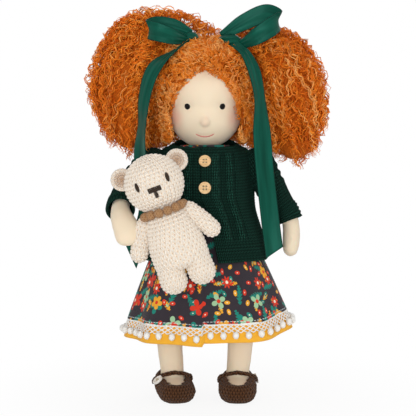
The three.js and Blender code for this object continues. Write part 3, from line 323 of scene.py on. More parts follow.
def stuffed_from(name, node, voxel, swell, settle=6):
    """Stuffed cloth from a solid: softened, and blown up as cloth under pressure by `swell` at most."""
    piece = softened(name, node, voxel, settle)
    start = coordinates(piece)
    cloth = piece.modifiers.new("filling", "CLOTH")
    cloth.settings.quality = 4
    cloth.settings.use_pressure = True
    cloth.settings.uniform_pressure_force = STUFFING_PRESSURE
    cloth.settings.effector_weights.gravity = 0
    for step in range(1, STUFFING_STEPS + 1):
        bpy.context.scene.frame_set(step)
    blown = piece.evaluated_get(bpy.context.evaluated_depsgraph_get()).data
    moved = np.array([v.co for v in blown.vertices]) - start
    piece.modifiers.remove(cloth)
    reach = np.linalg.norm(moved, axis=1, keepdims=True)
    set_coordinates(piece, start + moved * np.minimum(1, swell / np.maximum(reach, 1e-9)))
    bpy.context.scene.frame_set(1)
    finer = piece.modifiers.new("finer", "SUBSURF")
    finer.levels = finer.render_levels = 1
    apply_all(piece)
    piece.data.shade_smooth()
    return piece


def dressed(piece, material, slot, body, *nodes):
    """Gives a piece its finish and its body, and hides the solids that it stands for; `slot` is not used."""
    piece.data.materials.clear()
    piece.data.materials.append(material)
    if body:
        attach(piece, body)
    if nodes:
        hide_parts(*nodes)
    return piece


stuffing, tree, shader = finish("wool_stuffing", Roughness=0.95, Specular_IOR_Level=0.1, Sheen_Weight=0.3)
haze, patch = matted(tree, on_piece(tree), 0.0016, 0.012)
coloured(tree, shader, blended(tree, patch, paint(WOOL), paint(WOOL_SHADE)))
raised(tree, shader, haze, 0.0012, 0.8)

plain_skin = tricot("skin_tricot")
trunk = stuffed_from("torso_stuffed", "torso", voxel=0.004, swell=0.0008)
dressed(trunk, stuffing, "wool_stuffing", "torso", "torso")
core = stuffed_from("head_core_wound", "head_wool_core", voxel=0.004, swell=0.0003)
dressed(core, stuffing, "wool_stuffing", "head", "head_wool_core")
neck = stuffed_from("neck_tied", "neck", voxel=0.0025, swell=0.0002, settle=2)
dressed(neck, plain_skin, "skin_cloth", "torso", "neck")

# ------------------------------------------------------------------ Arms and legs
# Each limb is a tube of tricot stuffed firmly with wool, with a mitten hand or a foot sewn in one with it. They
# hang from seams at the shoulder and the hip.
for side in ("left", "right"):
    arm = stuffed_from(f"arm_{side}_stuffed", f"arm_{side}", voxel=0.0025, swell=0.0005, settle=4)
    dressed(arm, plain_skin, "skin_cloth", f"arm_{side}", f"arm_{side}")
    leg = stuffed_from(f"leg_{side}_stuffed", f"leg_{side}", voxel=0.0031, swell=0.0006, settle=5)
    dressed(leg, plain_skin, "skin_cloth", f"leg_{side}", f"leg_{side}")

# ------------------------------------------------------------------ Head and face
# Skin tricot is drawn tight over the wound ball, tied in a little at the eye line, with a knotted nose and round
# cheeks. The eyes and the mouth are sewn in embroidery thread, and each ear is a small stuffed round of skin.
MIDDLE = np.array([-5.76, 17.21, 0.0])  # the doll's own middle line in the frame
HEAD_MIDDLE = np.array([0.0, 0.0, 298.0])
CHEEKS, SKULL, HEAD_MELT = ((0, 0, 286.5), 36.5), ((0, 0, 307.5), 41.5), 1.1  # balls and how softly they join
NOSE, NOSE_MELT = ((0, -33.2, 276.2), 4.7), 1.6
EYE_X, EYE_Z, EYE_HALF = 16.8, 290, (2.8, 1.25, 3.2)
FACE_SWELLS = (  # x, z, reach and rise of each soft rise or hollow on the face
    (0, 277, 8.0, 0.9), (-23, 276, 9.0, 1.1), (23, 276, 9.0, 1.1), (0, 254.5, 6.0, 0.7),
    (-EYE_X, EYE_Z, 4.4, -1.0), (EYE_X, EYE_Z, 4.4, -1.0), (0, 283.5, 5.0, -0.3),
)
MOUTH_Z, MOUTH_HALF, MOUTH_SAG, MOUTH_THREAD = 264, 9.2, 2.9, 0.62
EYE_BAND = (291, 4.5, 0.45)  # height, reach and depth of the thread tied round at the eyes
TIED_OFF = (252.6, 17)  # height of the flat under the head and how far out it reaches
DABS = (  # place, reach in metres and share of each dab of rouge
    ((-29, -23, 279), 0.0160, 0.30), ((29, -23, 279), 0.0160, 0.30), ((0, -38, 275), 0.009, 0.10),
)
EAR_HALF = (2.9, 4.9, 6.8)
IN_FRONT = -90  # a place well in front of the face


def placed(points):
    """Points in the doll's own millimetres, as metres in the frame."""
    return (np.asarray(points, float) + MIDDLE) / 1000


def own_places(piece):
    """A piece's points in the doll's own millimetres."""
    return coordinates(piece) * 1000 - MIDDLE


def move(piece, points):
    """Puts a piece's points at these places in the doll's own millimetres."""
    set_coordinates(piece, placed(points))
    piece.data.update()


def round_piece(name, segments, rings):
    """A ball of radius 1 as a new piece, still to be shaped."""
    bpy.ops.mesh.primitive_uv_sphere_add(segments=segments, ring_count=rings, radius=1)
    piece = bpy.context.object
    piece.name = name
    return piece


def to_ball(ways, centre, radius):
    """How far each way runs from the head's middle until it leaves a ball."""
    towards = ways @ (np.array(centre) - HEAD_MIDDLE)
    inside = towards**2 + radius**2 - ((np.array(centre) - HEAD_MIDDLE) ** 2).sum()
    return np.where(inside > 0, towards + np.sqrt(np.maximum(inside, 0)), 0)


def head_surface(ways):
    """Points of the head's skin along unit ways from its middle."""
    reach = np.logaddexp(to_ball(ways, *CHEEKS) / HEAD_MELT, to_ball(ways, *SKULL) / HEAD_MELT) * HEAD_MELT
    nose = to_ball(ways, *NOSE)
    reach = np.where(nose > 0, np.logaddexp(reach / NOSE_MELT, nose / NOSE_MELT) * NOSE_MELT, reach)
    spots = HEAD_MIDDLE + ways * reach[:, None]
    front = np.clip(-ways[:, 1] * 2, 0, 1)
    for x, z, wide, rise in FACE_SWELLS:
        reach += front * rise * np.exp(-((spots[:, 0] - x) ** 2 + (spots[:, 2] - z) ** 2) / wide**2)
    band = np.exp(-(((spots[:, 2] - EYE_BAND[0]) / EYE_BAND[1]) ** 2)) * np.clip(1 - ways[:, 1] * 0.6, 0, 1)
    lip = np.exp(-(((spots[:, 2] - MOUTH_Z + MOUTH_SAG * (1 - (spots[:, 0] / MOUTH_HALF) ** 2)) / 1.6) ** 2))
    reach -= EYE_BAND[2] * band + 0.7 * front * lip * np.exp(-((spots[:, 0] / MOUTH_HALF) ** 6))
    return HEAD_MIDDLE + ways * reach[:, None]


head = round_piece("head_skin", 160, 112)
spots = head_surface(coordinates(head))
tied = (spots[:, 2] < TIED_OFF[0]) & (np.hypot(spots[:, 0], spots[:, 1]) < TIED_OFF[1])
spots[tied, 2] = TIED_OFF[0]
move(head, spots)
head.data.shade_smooth()
face_skin = tricot("face_tricot", [(tuple(placed(spot)), reach, share) for spot, reach, share in DABS])
dressed(head, face_skin, "skin_cloth", "head", "head")


def on_face(x, z, out=0.0):
    """The point of the face in front of a place, and the way that it looks, in the doll's own millimetres."""
    _, spot, way, _ = head.ray_cast(Vector(placed((x, IN_FRONT, z))), Vector((0, 1, 0)))
    way = np.array(way)
    return np.array(spot) * 1000 - MIDDLE + way * out, way


def thread(name, colour, shine=0.35):
    """Embroidery thread: soft, a little glossy, twisted."""
    material, tree, shader = finish(name, Roughness=0.5, Specular_IOR_Level=shine, Sheen_Weight=0.1)
    haze, patch = matted(tree, on_piece(tree), 0.0004, 0.002)
    darker = [c * 0.55 for c in paint(colour)[:3]] + [1.0]
    coloured(tree, shader, blended(tree, patch, paint(colour), darker))
    raised(tree, shader, haze, 0.0002, 0.7)
    return material


black_thread = thread("black_thread", "#0e0b09", 0.1)
for side, x in (("left", EYE_X), ("right", -EYE_X)):
    seat, way = on_face(x, EYE_Z, 0.1)
    eye = round_piece(f"eye_{side}_sewn", 48, 28)
    u = coordinates(eye)
    rib = 1 + 0.10 * np.abs(np.sin(u[:, 0] * 7 + u[:, 2]))
    flat = u * EYE_HALF * np.stack([rib, rib, np.ones_like(rib)], 1)
    out = -way / np.linalg.norm(way)
    across = np.cross(out, [0, 0, 1])
    across /= np.linalg.norm(across)
    move(eye, seat + flat @ np.stack([across, out, np.cross(across, out)]))
    eye.data.shade_smooth()
    dressed(eye, black_thread, "black_thread", "head", f"eye_{side}")


def tubes(lines, radii, sides=6):
    """Round tubes along lines of points, as points and three-cornered faces with closed ends."""
    lines = np.asarray(lines, float)
    count, steps, _ = lines.shape
    along = np.gradient(lines, axis=1)
    along /= np.maximum(np.linalg.norm(along, axis=2, keepdims=True), 1e-9)
    first = np.where(np.abs(along[:, :1, 2:]) > 0.8, [1.0, 0, 0], [0, 0, 1.0])[:, 0]
    frames = np.empty_like(lines)
    for step in range(steps):
        ahead = along[:, step]
        first = first - (first * ahead).sum(1, keepdims=True) * ahead
        first /= np.maximum(np.linalg.norm(first, axis=1, keepdims=True), 1e-9)
        frames[:, step] = first
    turn = np.arange(sides) * 2 * math.pi / sides
    second = np.cross(along, frames)
    ring = frames[:, :, None] * np.cos(turn)[:, None] + second[:, :, None] * np.sin(turn)[:, None]
    radii = np.broadcast_to(np.asarray(radii, float), (count, steps))
    points = (lines[:, :, None] + ring * radii[:, :, None, None]).reshape(-1, 3)
    i, j, k = np.meshgrid(np.arange(count), np.arange(steps - 1), np.arange(sides), indexing="ij")
    a, b = (i * steps + j) * sides + k, (i * steps + j) * sides + (k + 1) % sides
    walls = np.stack([a, b, b + sides, a, b + sides, a + sides], -1).reshape(-1, 3)
    fan = np.stack([np.zeros(sides - 2, int), np.arange(1, sides - 1), np.arange(2, sides)], 1)
    starts = np.arange(count)[:, None, None] * steps * sides
    ends = starts + (steps - 1) * sides
    return points, np.concatenate([walls, (starts + fan[None, :, ::-1]).reshape(-1, 3), (ends + fan).reshape(-1, 3)])


def new_piece(name, points, *face_lists):
    """A smooth mesh from points in the doll's millimetres and lists of faces of three or four corners."""
    mesh = bpy.data.meshes.new(name)
    corners = np.concatenate([np.asarray(f, np.int32).ravel() for f in face_lists])
    sizes = np.concatenate([np.full(len(f), np.shape(f)[1], np.int32) for f in face_lists])
    mesh.vertices.add(len(points))
    mesh.vertices.foreach_set("co", np.asarray(placed(points), np.float32).ravel())
    mesh.loops.add(len(corners))
    mesh.loops.foreach_set("vertex_index", corners)
    mesh.polygons.add(len(sizes))
    mesh.polygons.foreach_set("loop_start", np.concatenate([[0], np.cumsum(sizes)[:-1]]).astype(np.int32))
    mesh.update(calc_edges=True)
    mesh.shade_smooth()
    piece = bpy.data.objects.new(name, mesh)
    bpy.context.scene.collection.objects.link(piece)
    return piece


share = np.linspace(-1, 1, 61)
lip_line = [on_face(MOUTH_HALF * s, MOUTH_Z - MOUTH_SAG * (1 - s**2), 0.25)[0] for s in share]
stitches = MOUTH_THREAD * (0.72 + 0.28 * np.abs(np.sin(share * math.pi * 3.5))) * np.clip((1 - share**8) * 1.3, 0.2, 1)
mouth = new_piece("mouth_sewn", *tubes([lip_line], [stitches], 10))
dressed(mouth, thread("lip_thread", "#d98274"), "lip_thread", "head", "mouth")

for side, sign in (("left", 1), ("right", -1)):
    low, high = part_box(f"ear_{side}")
    middle = (np.array(low) + np.array(high)) * 500 - MIDDLE + (sign * 0.8, -0.6, 0)
    ear = round_piece(f"ear_{side}_stuffed", 48, 32)
    u = coordinates(ear)
    cup = np.exp(-((u[:, 1] + 0.15) ** 2 + (u[:, 2] - 0.05) ** 2) / 0.32)
    u[:, 0] -= sign * 0.75 * cup * (sign * u[:, 0] > 0)
    move(ear, middle + u * EAR_HALF)
    ear.data.shade_smooth()
    dressed(ear, plain_skin, "skin_cloth", "head", f"ear_{side}")

# ------------------------------------------------------------------ Bodice
# The top of the dress is a shell of the printed cotton that the skirt is gathered onto. The cardigan hides it, apart
# from a rim at the neck.
TRUNK = [[0, 0, 172, 36, 30], [0, 0, 212, 39, 31], [0, 0, 232, 39, 28], [0, 0, 243, 27, 25], [0, 0, 253, 23, 25]]
SHOULDER_PIVOTS = {"left": (52, 0, 232), "right": (-52, 0, 232)}
BODICE_FLAT, BODICE_EASE, BODICE_THICK = (0.235, 0.085), 1.6, 0.0009

# Weave: two sets of threads crossing under and over each other, as Height.
weave, weave_in, weave_out = node_group("weave", ["Vector", "Thread"], ["Height"])
axes = put(weave, "SeparateXYZ", {0: weave_in.outputs["Vector"]}).outputs
ways = [calc(weave, "DIVIDE", axes[i], weave_in.outputs["Thread"]) for i in (0, 1)]
rounds = [calc(weave, "ABSOLUTE", calc(weave, "SINE", calc(weave, "MULTIPLY", way, math.pi))) for way in ways]
cells = calc(weave, "ADD", calc(weave, "FLOOR", ways[0]), calc(weave, "FLOOR", ways[1]))
odd = calc(weave, "FLOORED_MODULO", cells, 2.0)
over = calc(weave, "MULTIPLY", rounds[0], odd)
under = calc(weave, "MULTIPLY", rounds[1], calc(weave, "SUBTRACT", 1.0, odd))
weave.links.new(calc(weave, "ADD", over, under), weave_out.inputs["Height"])


def cotton(name, colour, thread=0.0004):
    """Plain woven cotton, whose threads follow the piece's own UV map in metres; colour is an output or a paint."""
    material, tree, shader = finish(name, Roughness=0.88, Specular_IOR_Level=0.15, Sheen_Weight=0.12)
    along = put(tree, "UVMap", uv_map="cloth").outputs[0]
    haze, patch = matted(tree, along, 0.0005, 0.018)
    dim = calc(tree, "MULTIPLY_ADD", calc(tree, "ADD", haze, patch), 0.22, 0.80)
    if callable(colour):
        colour = colour(tree, along)
    coloured(tree, shader, blended(tree, 1.0, colour, dim, "MULTIPLY"))
    under = raised(tree, shader, use_group(tree, weave, {"Vector": along, "Thread": thread})[0], 0.00012, 0.5)
    raised(tree, shader, haze, 0.0001, 0.4, under)
    return material


def smooth_line(stations, shares):
    """Points at shares 0 to 1 of a centripetal curve through the stations."""
    p = np.asarray(stations, float)
    p = np.vstack([2 * p[0] - p[1], p, 2 * p[-1] - p[-2]])
    at = np.clip(np.asarray(shares, float), 0, 1) * (len(p) - 3)
    i = np.minimum(at.astype(int), len(p) - 4)
    w = (at - i)[:, None]
    a, b, c, d = (p[i + k] for k in range(4))
    ab, bc, cd = (np.sqrt(np.linalg.norm(y - x, axis=1))[:, None] for x, y in ((a, b), (b, c), (c, d)))
    bc = np.where(bc < 1e-2, 1, bc)
    ab, cd = np.where(ab < 1e-2, bc, ab), np.where(cd < 1e-2, bc, cd)
    leave = ((b - a) / ab - (c - a) / (ab + bc) + (c - b) / bc) * bc
    reach = ((c - b) / bc - (d - b) / (bc + cd) + (d - c) / cd) * bc
    return b + w * (leave + w * ((3 * (c - b) - 2 * leave - reach) + w * (2 * (b - c) + leave + reach)))


def ring_frames(stations, shares, side=(1, 0, 0)):
    """Along a line of [x, y, z, half width, half depth]: centres, ways along, across and deep, and half sizes."""
    stations = np.asarray(stations, float)
    line = smooth_line(stations[:, :3], shares)
    sizes = smooth_line(np.pad(stations[:, 3:5], ((0, 0), (0, 1))), shares)[:, :2]
    step = 1e-3
    ahead = smooth_line(stations[:, :3], np.minimum(np.asarray(shares) + step, 1))
    ahead = ahead - smooth_line(stations[:, :3], np.maximum(np.asarray(shares) - step, 0))
    ahead /= np.linalg.norm(ahead, axis=1, keepdims=True)
    across = np.array(side, float) - (ahead @ np.array(side, float))[:, None] * ahead
    across /= np.linalg.norm(across, axis=1, keepdims=True)
    return line, ahead, across, np.cross(ahead, across), sizes


def stuffed_rings(stations, rows, around, dome=(1, 1), grow=0.0, side=(1, 0, 0), until=1.0, ends=7):
    """Oval rings along a smooth line, closed by a dome of `dome` times the girth at each end."""
    shares = np.linspace(0, until, rows)
    line, ahead, across, deep, sizes = ring_frames(stations, shares, side)
    sizes = sizes + grow
    turn = np.arange(around) * 2 * math.pi / around
    rings = []

    def ring(centre, i, size):
        rings.append(centre + np.outer(np.cos(turn), across[i]) * size[0] + np.outer(np.sin(turn), deep[i]) * size[1])

    def cap(i, sign, ratio):
        if ratio == 0:
            return
        height = ratio * (sizes[i].min() - grow) + grow
        lifts = np.linspace(math.pi / 2 - 0.04, 0, ends, endpoint=False)
        for lift in lifts if sign < 0 else lifts[::-1]:
            ring(line[i] + ahead[i] * sign * height * math.sin(lift), i, sizes[i] * math.cos(lift))

    cap(0, -1, dome[0])
    for i in range(rows):
        ring(line[i], i, sizes[i])
    cap(rows - 1, 1, dome[1])
    return np.array(rings)


def swells(turns, heights, size, aside=0.0):
    """Slow uneven swells between -1 and 1, in a net of heights and of turns round a tube."""
    return np.array([[noise.noise(Vector((math.cos(turn) * size + aside, math.sin(turn) * size, height)))
                      for turn in turns] for height in heights])


def net_faces(rows, columns, wrap, flip=False):
    """The four-cornered faces of a net of points, round in a ring if it wraps."""
    r, c = np.meshgrid(np.arange(rows - 1), np.arange(columns if wrap else columns - 1), indexing="ij")
    onward = (c + 1) % columns
    quads = np.stack([r * columns + c, r * columns + onward, (r + 1) * columns + onward, (r + 1) * columns + c], -1)
    quads = quads.reshape(-1, 4)
    return quads[:, ::-1] if flip else quads


def net_piece(name, net, wrap, size=None, closed=False, flip=False):
    """A piece from rows of points; `size` is the width and length in metres of its UV map, `closed` fills its ends."""
    rows, columns, _ = net.shape
    points, lists = net.reshape(-1, 3), [net_faces(rows, columns, wrap, flip)]
    if closed:
        points = np.vstack([points, net[0].mean(0), net[-1].mean(0)])
        i = np.arange(columns)
        j, last = (i + 1) % columns, (rows - 1) * columns
        foot, top = np.full(columns, len(points) - 2), np.full(columns, len(points) - 1)
        fans = np.concatenate([np.stack([foot, j, i], 1), np.stack([top, last + i, last + j], 1)])
        lists.append(fans[:, ::-1] if flip else fans)
    piece = new_piece(name, points, *lists)
    if size is not None:
        spans = columns if wrap else columns - 1
        r, c = np.meshgrid(np.arange(rows - 1), np.arange(spans), indexing="ij")
        corners = np.stack([np.stack([c + dc, r + dr], -1) for dc, dr in ((0, 0), (1, 0), (1, 1), (0, 1))], 2)
        if flip:
            corners = corners[:, :, ::-1]
        shares = corners.reshape(-1, 2) / (spans, rows - 1) * np.asarray(size)
        layer = piece.data.uv_layers.new(name="cloth")
        found = np.zeros((len(piece.data.loops), 2), np.float32)
        found[: len(shares)] = shares
        layer.data.foreach_set("uv", found.ravel())
    return piece


def note_down(piece, name, values):
    """Keeps one number for each point of a piece, for its material."""
    layer = piece.data.attributes.new(name, "FLOAT", "POINT")
    layer.data.foreach_set("value", np.asarray(values, np.float32).ravel())


def thick(piece, metres, offset=-1.0):
    """Gives cloth its thickness, inwards unless told otherwise."""
    wall = piece.modifiers.new("thickness", "SOLIDIFY")
    wall.thickness, wall.offset = metres, offset
    apply_all(piece)
    return piece


def without(piece, out):
    """Deletes the chosen points of a piece and their faces."""
    only(piece)
    for parts, chosen in ((piece.data.vertices, out), (piece.data.edges, False), (piece.data.polygons, False)):
        parts.foreach_set("select", np.broadcast_to(chosen, len(parts)).astype(bool).tolist())
    bpy.ops.object.mode_set(mode="EDIT")
    bpy.ops.mesh.delete(type="VERT")
    bpy.ops.object.mode_set(mode="OBJECT")
    return piece


def with_armholes(piece, radius):
    """Cuts a round hole at each shoulder, in the doll's own millimetres."""
    away = [np.linalg.norm(own_places(piece) - pivot, axis=1) for pivot in SHOULDER_PIVOTS.values()]
    return without(piece, np.min(away, axis=0) < radius)


# ------------------------------------------------------------------ Skirt, underskirt and trim
# Two straight lengths of cotton are gathered at the waist over each other: a dark printed one and a longer mustard
# one. They fall in nine soft flutes with one deep fold at the front, and the hems ride up on the doll's left. A
# net of white cotton with a pompom at each point is sewn between the hems. Each is joined from a left and a right
# length, in the fold and at the back.
WAIST_Z, SKIRT_LENGTH, UNDER_LENGTH = 172, 92, 110
SKIRT_WAIST, SKIRT_HEM, SKIRT_LEAN = (39, 33), (81, 57), 5
FLUTES, FLUTE_DEPTH, FOLD_DEPTH, FOLD_TURN, HEM_KICK = 9, 3.4, 3.0, math.asin(-7 / 81), 11
LAYER_GAP, COTTON_THICK = 1.9, 0.0007
NET_CELLS, NET_TOP, NET_HEIGHT, NET_THREAD = 42, 0.2, 8.6, 0.62
POMPOM_RADIUS, POMPOM_DROP, POMPOM_HALF = 3.2, 1.4, (0.93, 0.93, 1.12)
SEAM_TURN = 0.095
HALVES = {"left": (-SEAM_TURN, math.pi + SEAM_TURN), "right": (math.pi + SEAM_TURN, 2 * math.pi - SEAM_TURN)}
LAYER_COLUMNS, WAIST_PLEATS = 330, 46
PRINT_GROUND, MUSTARD = "#352f35", "#efb036"
PRINT = {"red": "#d63a25", "mustard": "#e9a630", "mint": "#9fc49a", "teal": "#1f8071", "cream": "#efe6cf"}
HEM_STITCH = (0.0024, 0.00028, 0.0031, 0.35, "#c9d2d2")  # height over the hem, half width, step, gap's share, thread


def from_fold(turn):
    """A turn counted from the deep front fold, from -pi to pi."""
    return (turn - FOLD_TURN + math.pi) % (2 * math.pi) - math.pi


def skirt_cloth(turn, drop, depth, crease=0.0):
    """A point of the skirt: turn from the front, drop under the waist, depth under its face."""
    fall = np.maximum(drop, 0) / SKIRT_LENGTH
    off = from_fold(turn)
    flute = FLUTE_DEPTH * np.cos(FLUTES * turn + 0.6) * (0.75 + 0.25 * np.cos(2 * turn + 1))
    roll = np.where(off < 0, np.exp(-((off / 0.5) ** 2)), -0.55 * np.exp(-((off / 0.4) ** 2)))
    fold = (flute + FOLD_DEPTH * roll) * np.minimum(1, fall) ** 1.3 - depth + crease
    spread = fall**0.82
    across = SKIRT_WAIST[0] + (SKIRT_HEM[0] - SKIRT_WAIST[0]) * spread + fold
    deep = SKIRT_WAIST[1] + (SKIRT_HEM[1] - SKIRT_WAIST[1]) * spread + fold
    return np.stack([across * np.sin(turn) + SKIRT_LEAN * fall, -deep * np.cos(turn), WAIST_Z - drop], -1)


def hem_lift(turn):
    """How much higher the hem hangs at a turn from the front."""
    off = from_fold(turn)
    step = np.where(off > 0, 2.4 * np.exp(-((off / 0.6) ** 2)), 0)
    return HEM_KICK * np.maximum(0, np.sin(turn)) ** 3 + step


def lifts_with_leg(piece):
    """Bakes the place of a half of the skirt or of the trim into its points."""
    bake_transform(piece)


def skirt_layer(name, top, length, depth, rows, material, slot, node, flat):
    """One gathered layer in two halves: flutes, small gathers at the waist and soft creases lower down."""
    for side, (first, last) in HALVES.items():
        part = (last - first) / (2 * math.pi)
        columns = round(LAYER_COLUMNS * part)
        turn = np.linspace(first, last, columns)[None, :]
        share = np.linspace(0, 1, rows)[:, None] ** 0.95
        drop = top + (length - hem_lift(turn) - top) * share
        fall = drop / length
        pleats = np.cos(WAIST_PLEATS * turn + 1.3 * np.sin(5 * turn)) * np.exp(-((fall / 0.42) ** 2)) * 0.75
        slow = swells(turn[0], np.linspace(0, 1, 12) * 1.1, 5, depth)
        soft = np.array([np.interp(fall[:, i], np.linspace(0, 1, 12), slow[:, i]) for i in range(columns)]).T
        rolled = 0.35 * np.exp(-(((drop - length + hem_lift(turn)) / 1.1) ** 2))
        net = skirt_cloth(np.broadcast_to(turn, drop.shape), drop, depth, pleats + 0.9 * soft * fall - rolled * 0.5)
        size = (round(flat[0] * part, 3), flat[1])
        piece = net_piece(f"{name}_{side}", net, False, size, flip=True)
        if side == "right":
            slide_pattern(piece, -size[0])
        note_down(piece, "above_hem", np.broadcast_to(1 - share, drop.shape) * (length - top) / 1000)
        thick(piece, COTTON_THICK)
        lifts_with_leg(dressed(piece, material, slot, None, node))


def slide_pattern(piece, metres):
    """Moves a piece's cloth along under its print, so that the print runs on over a seam."""
    layer = piece.data.uv_layers["cloth"]
    found = np.zeros((len(piece.data.loops), 2), np.float32)
    layer.data.foreach_get("uv", found.ravel())
    found[:, 0] += metres
    layer.data.foreach_set("uv", found.ravel())


# Motif: one flower, berry or sprig in each cell of a scattered grid. Bloom is its shape, Heart its middle, Stem a
# frond of leaves through it, and Tone a number that picks the cell's colour.
motif, motif_in, motif_out = node_group(
    "motif", ["Vector", "Cell", "Scatter", "Petals", "Waist", "Point", "Narrow", "Reach", "Frond"],
    ["Bloom", "Heart", "Stem", "Tone"])
given = motif_in.outputs
spot = put(motif, "VectorMath", {0: given["Vector"], 1: put(motif, "CombineXYZ", {
    i: calc(motif, "DIVIDE", 1.0, given["Cell"]) for i in (0, 1, 2)}).outputs[0]}, operation="MULTIPLY").outputs[0]
cells = put(motif, "TexVoronoi", {"Vector": spot, "Scale": 1.0, "Randomness": given["Scatter"]},
            voronoi_dimensions="2D").outputs
local = put(motif, "VectorMath", {0: spot, 1: cells["Position"]}, operation="SUBTRACT").outputs[0]
tones = put(motif, "SeparateColor", {0: cells["Color"]}).outputs
turned = put(motif, "VectorRotate", {"Vector": local, "Angle": calc(motif, "MULTIPLY", tones[1], 6.283)},
             rotation_type="Z_AXIS").outputs[0]
x, y, _ = put(motif, "SeparateXYZ", {0: turned}).outputs
thin = calc(motif, "MULTIPLY", y, given["Narrow"])
reach = calc(motif, "SQRT", calc(motif, "ADD", calc(motif, "MULTIPLY", x, x), calc(motif, "MULTIPLY", thin, thin)))
lobe = calc(motif, "ABSOLUTE", calc(motif, "COSINE", calc(motif, "MULTIPLY", calc(motif, "ARCTAN2", thin, x), calc(
    motif, "MULTIPLY", given["Petals"], 0.5))))
lobe = calc(motif, "POWER", lobe, given["Point"])
rim = calc(motif, "MULTIPLY", given["Reach"], calc(
    motif, "MULTIPLY_ADD", lobe, calc(motif, "SUBTRACT", 1.0, given["Waist"]), given["Waist"]))
motif.links.new(calc(motif, "LESS_THAN", reach, rim), motif_out.inputs["Bloom"])
heart = calc(motif, "LESS_THAN", reach, calc(motif, "MULTIPLY", given["Reach"], 0.26))
motif.links.new(heart, motif_out.inputs["Heart"])
aside = calc(motif, "ABSOLUTE", calc(motif, "SUBTRACT", y, calc(
    motif, "MULTIPLY", calc(motif, "SINE", calc(motif, "MULTIPLY", x, 4.0)), 0.06)))
leaves = calc(motif, "ABSOLUTE", calc(motif, "SINE", calc(
    motif, "MULTIPLY", calc(motif, "MULTIPLY_ADD", aside, -0.8, x), 22.0)))
taper = calc(motif, "SUBTRACT", 1.0, calc(motif, "DIVIDE", calc(motif, "ABSOLUTE", x), given["Frond"]))
width = calc(motif, "MULTIPLY_ADD", calc(motif, "MULTIPLY", leaves, calc(motif, "ADD", taper, 0.35)), 0.105, 0.02)
frond = calc(motif, "MULTIPLY", calc(motif, "LESS_THAN", aside, width), calc(motif, "GREATER_THAN", taper, 0.0))
motif.links.new(frond, motif_out.inputs["Stem"])
motif.links.new(tones[0], motif_out.inputs["Tone"])

MOTIFS = (  # cell, scatter, petals, waist, point, narrow, reach, frond, shift, kept share, petal colours, heart, stem
    (0.0230, 0.35, 0, 1.00, 1.0, 2.0, 0.00, 0.40, 0.013, 0.85, ("teal", "teal"), None, "teal"),
    (0.0180, 0.40, 0, 1.00, 1.0, 1.8, 0.10, 0.30, 0.057, 0.66, ("red", "mint"), None, "mustard"),
    (0.0105, 0.60, 0, 1.00, 1.0, 1.6, 0.29, 0.01, 0.041, 0.62, ("red", "teal", "red", "mustard"), "cream", None),
    (0.0210, 0.35, 4, 0.16, 0.8, 1.0, 0.36, 0.01, 0.027, 0.42, ("mint", "teal", "mint", "red"), "red", None),
    (0.0200, 0.40, 8, 0.50, 1.6, 1.0, 0.31, 0.01, 0.073, 0.42, ("red", "red", "mustard", "red"), "cream", None),
    (0.0225, 0.35, 5, 0.48, 0.7, 1.0, 0.30, 0.01, 0.005, 0.42, ("mustard", "red", "mint", "mustard"), "red", None),
)


def flowered(tree, along):
    """Small flowers, berries and leaves strewn on a dark ground, with a dashed hem stitch."""
    colour = paint(PRINT_GROUND)
    for cell, scatter, petals, waist, point, narrow, size, sprig, shift, keep, colours, heart, stem in MOTIFS:
        moved = put(tree, "Mapping", {"Vector": along, "Location": (shift, shift * 0.7, 0)}).outputs[0]
        bloom, middle, fronds, tone = use_group(tree, motif, {
            "Vector": moved, "Cell": cell, "Scatter": scatter, "Petals": petals, "Waist": waist, "Point": point,
            "Narrow": narrow, "Reach": size, "Frond": sprig})
        kept = calc(tree, "LESS_THAN", tone, keep)
        bloom, middle, fronds = (calc(tree, "MULTIPLY", part, kept) for part in (bloom, middle, fronds))
        ramp = put(tree, "ValToRGB", {0: tone})
        ramp.color_ramp.interpolation = "CONSTANT"
        for step, shade in enumerate(colours):
            stop = ramp.color_ramp.elements[step] if step < 2 else ramp.color_ramp.elements.new(1.0)
            stop.position, stop.color = keep * step / len(colours), paint(PRINT[shade])
        if stem:
            colour = blended(tree, fronds, colour, paint(PRINT[stem]))
        colour = blended(tree, bloom, colour, ramp.outputs[0])
        if heart:
            colour = blended(tree, middle, colour, paint(PRINT[heart]))
    height, half, step, gap, white = HEM_STITCH
    above = calc(tree, "ABSOLUTE", calc(tree, "SUBTRACT", noted(tree, "above_hem"), height))
    run = put(tree, "SeparateXYZ", {0: along}).outputs["X"]
    dash = calc(tree, "GREATER_THAN", calc(tree, "FRACT", calc(tree, "DIVIDE", run, step)), gap)
    return blended(tree, calc(tree, "MULTIPLY", calc(tree, "LESS_THAN", above, half), dash), colour, paint(white))


bodice = net_piece("dress_bodice_cotton", stuffed_rings(TRUNK, 40, 120, (0, 0), BODICE_EASE), True, BODICE_FLAT)
thick(with_armholes(bodice, 16.2), BODICE_THICK)
printed = cotton("printed_cotton", flowered)
dressed(bodice, printed, "bodice_cotton", "torso", "dress_bodice")
skirt_layer("skirt_print", 0, SKIRT_LENGTH, 0, 56, printed, "printed_cotton", "skirt", (0.46, 0.090))
skirt_layer("underskirt_mustard", 8, UNDER_LENGTH, LAYER_GAP, 42, cotton("mustard_cotton", paint(MUSTARD)),
            "mustard_cotton", "underskirt", (0.47, 0.100))


def trim_place(turn, below, off):
    """A place below the skirt's hem and off the face of the underskirt."""
    turn, below = np.asarray(turn, float), np.asarray(below, float)
    return skirt_cloth(turn, SKIRT_LENGTH - hem_lift(turn) + below, LAYER_GAP - off)


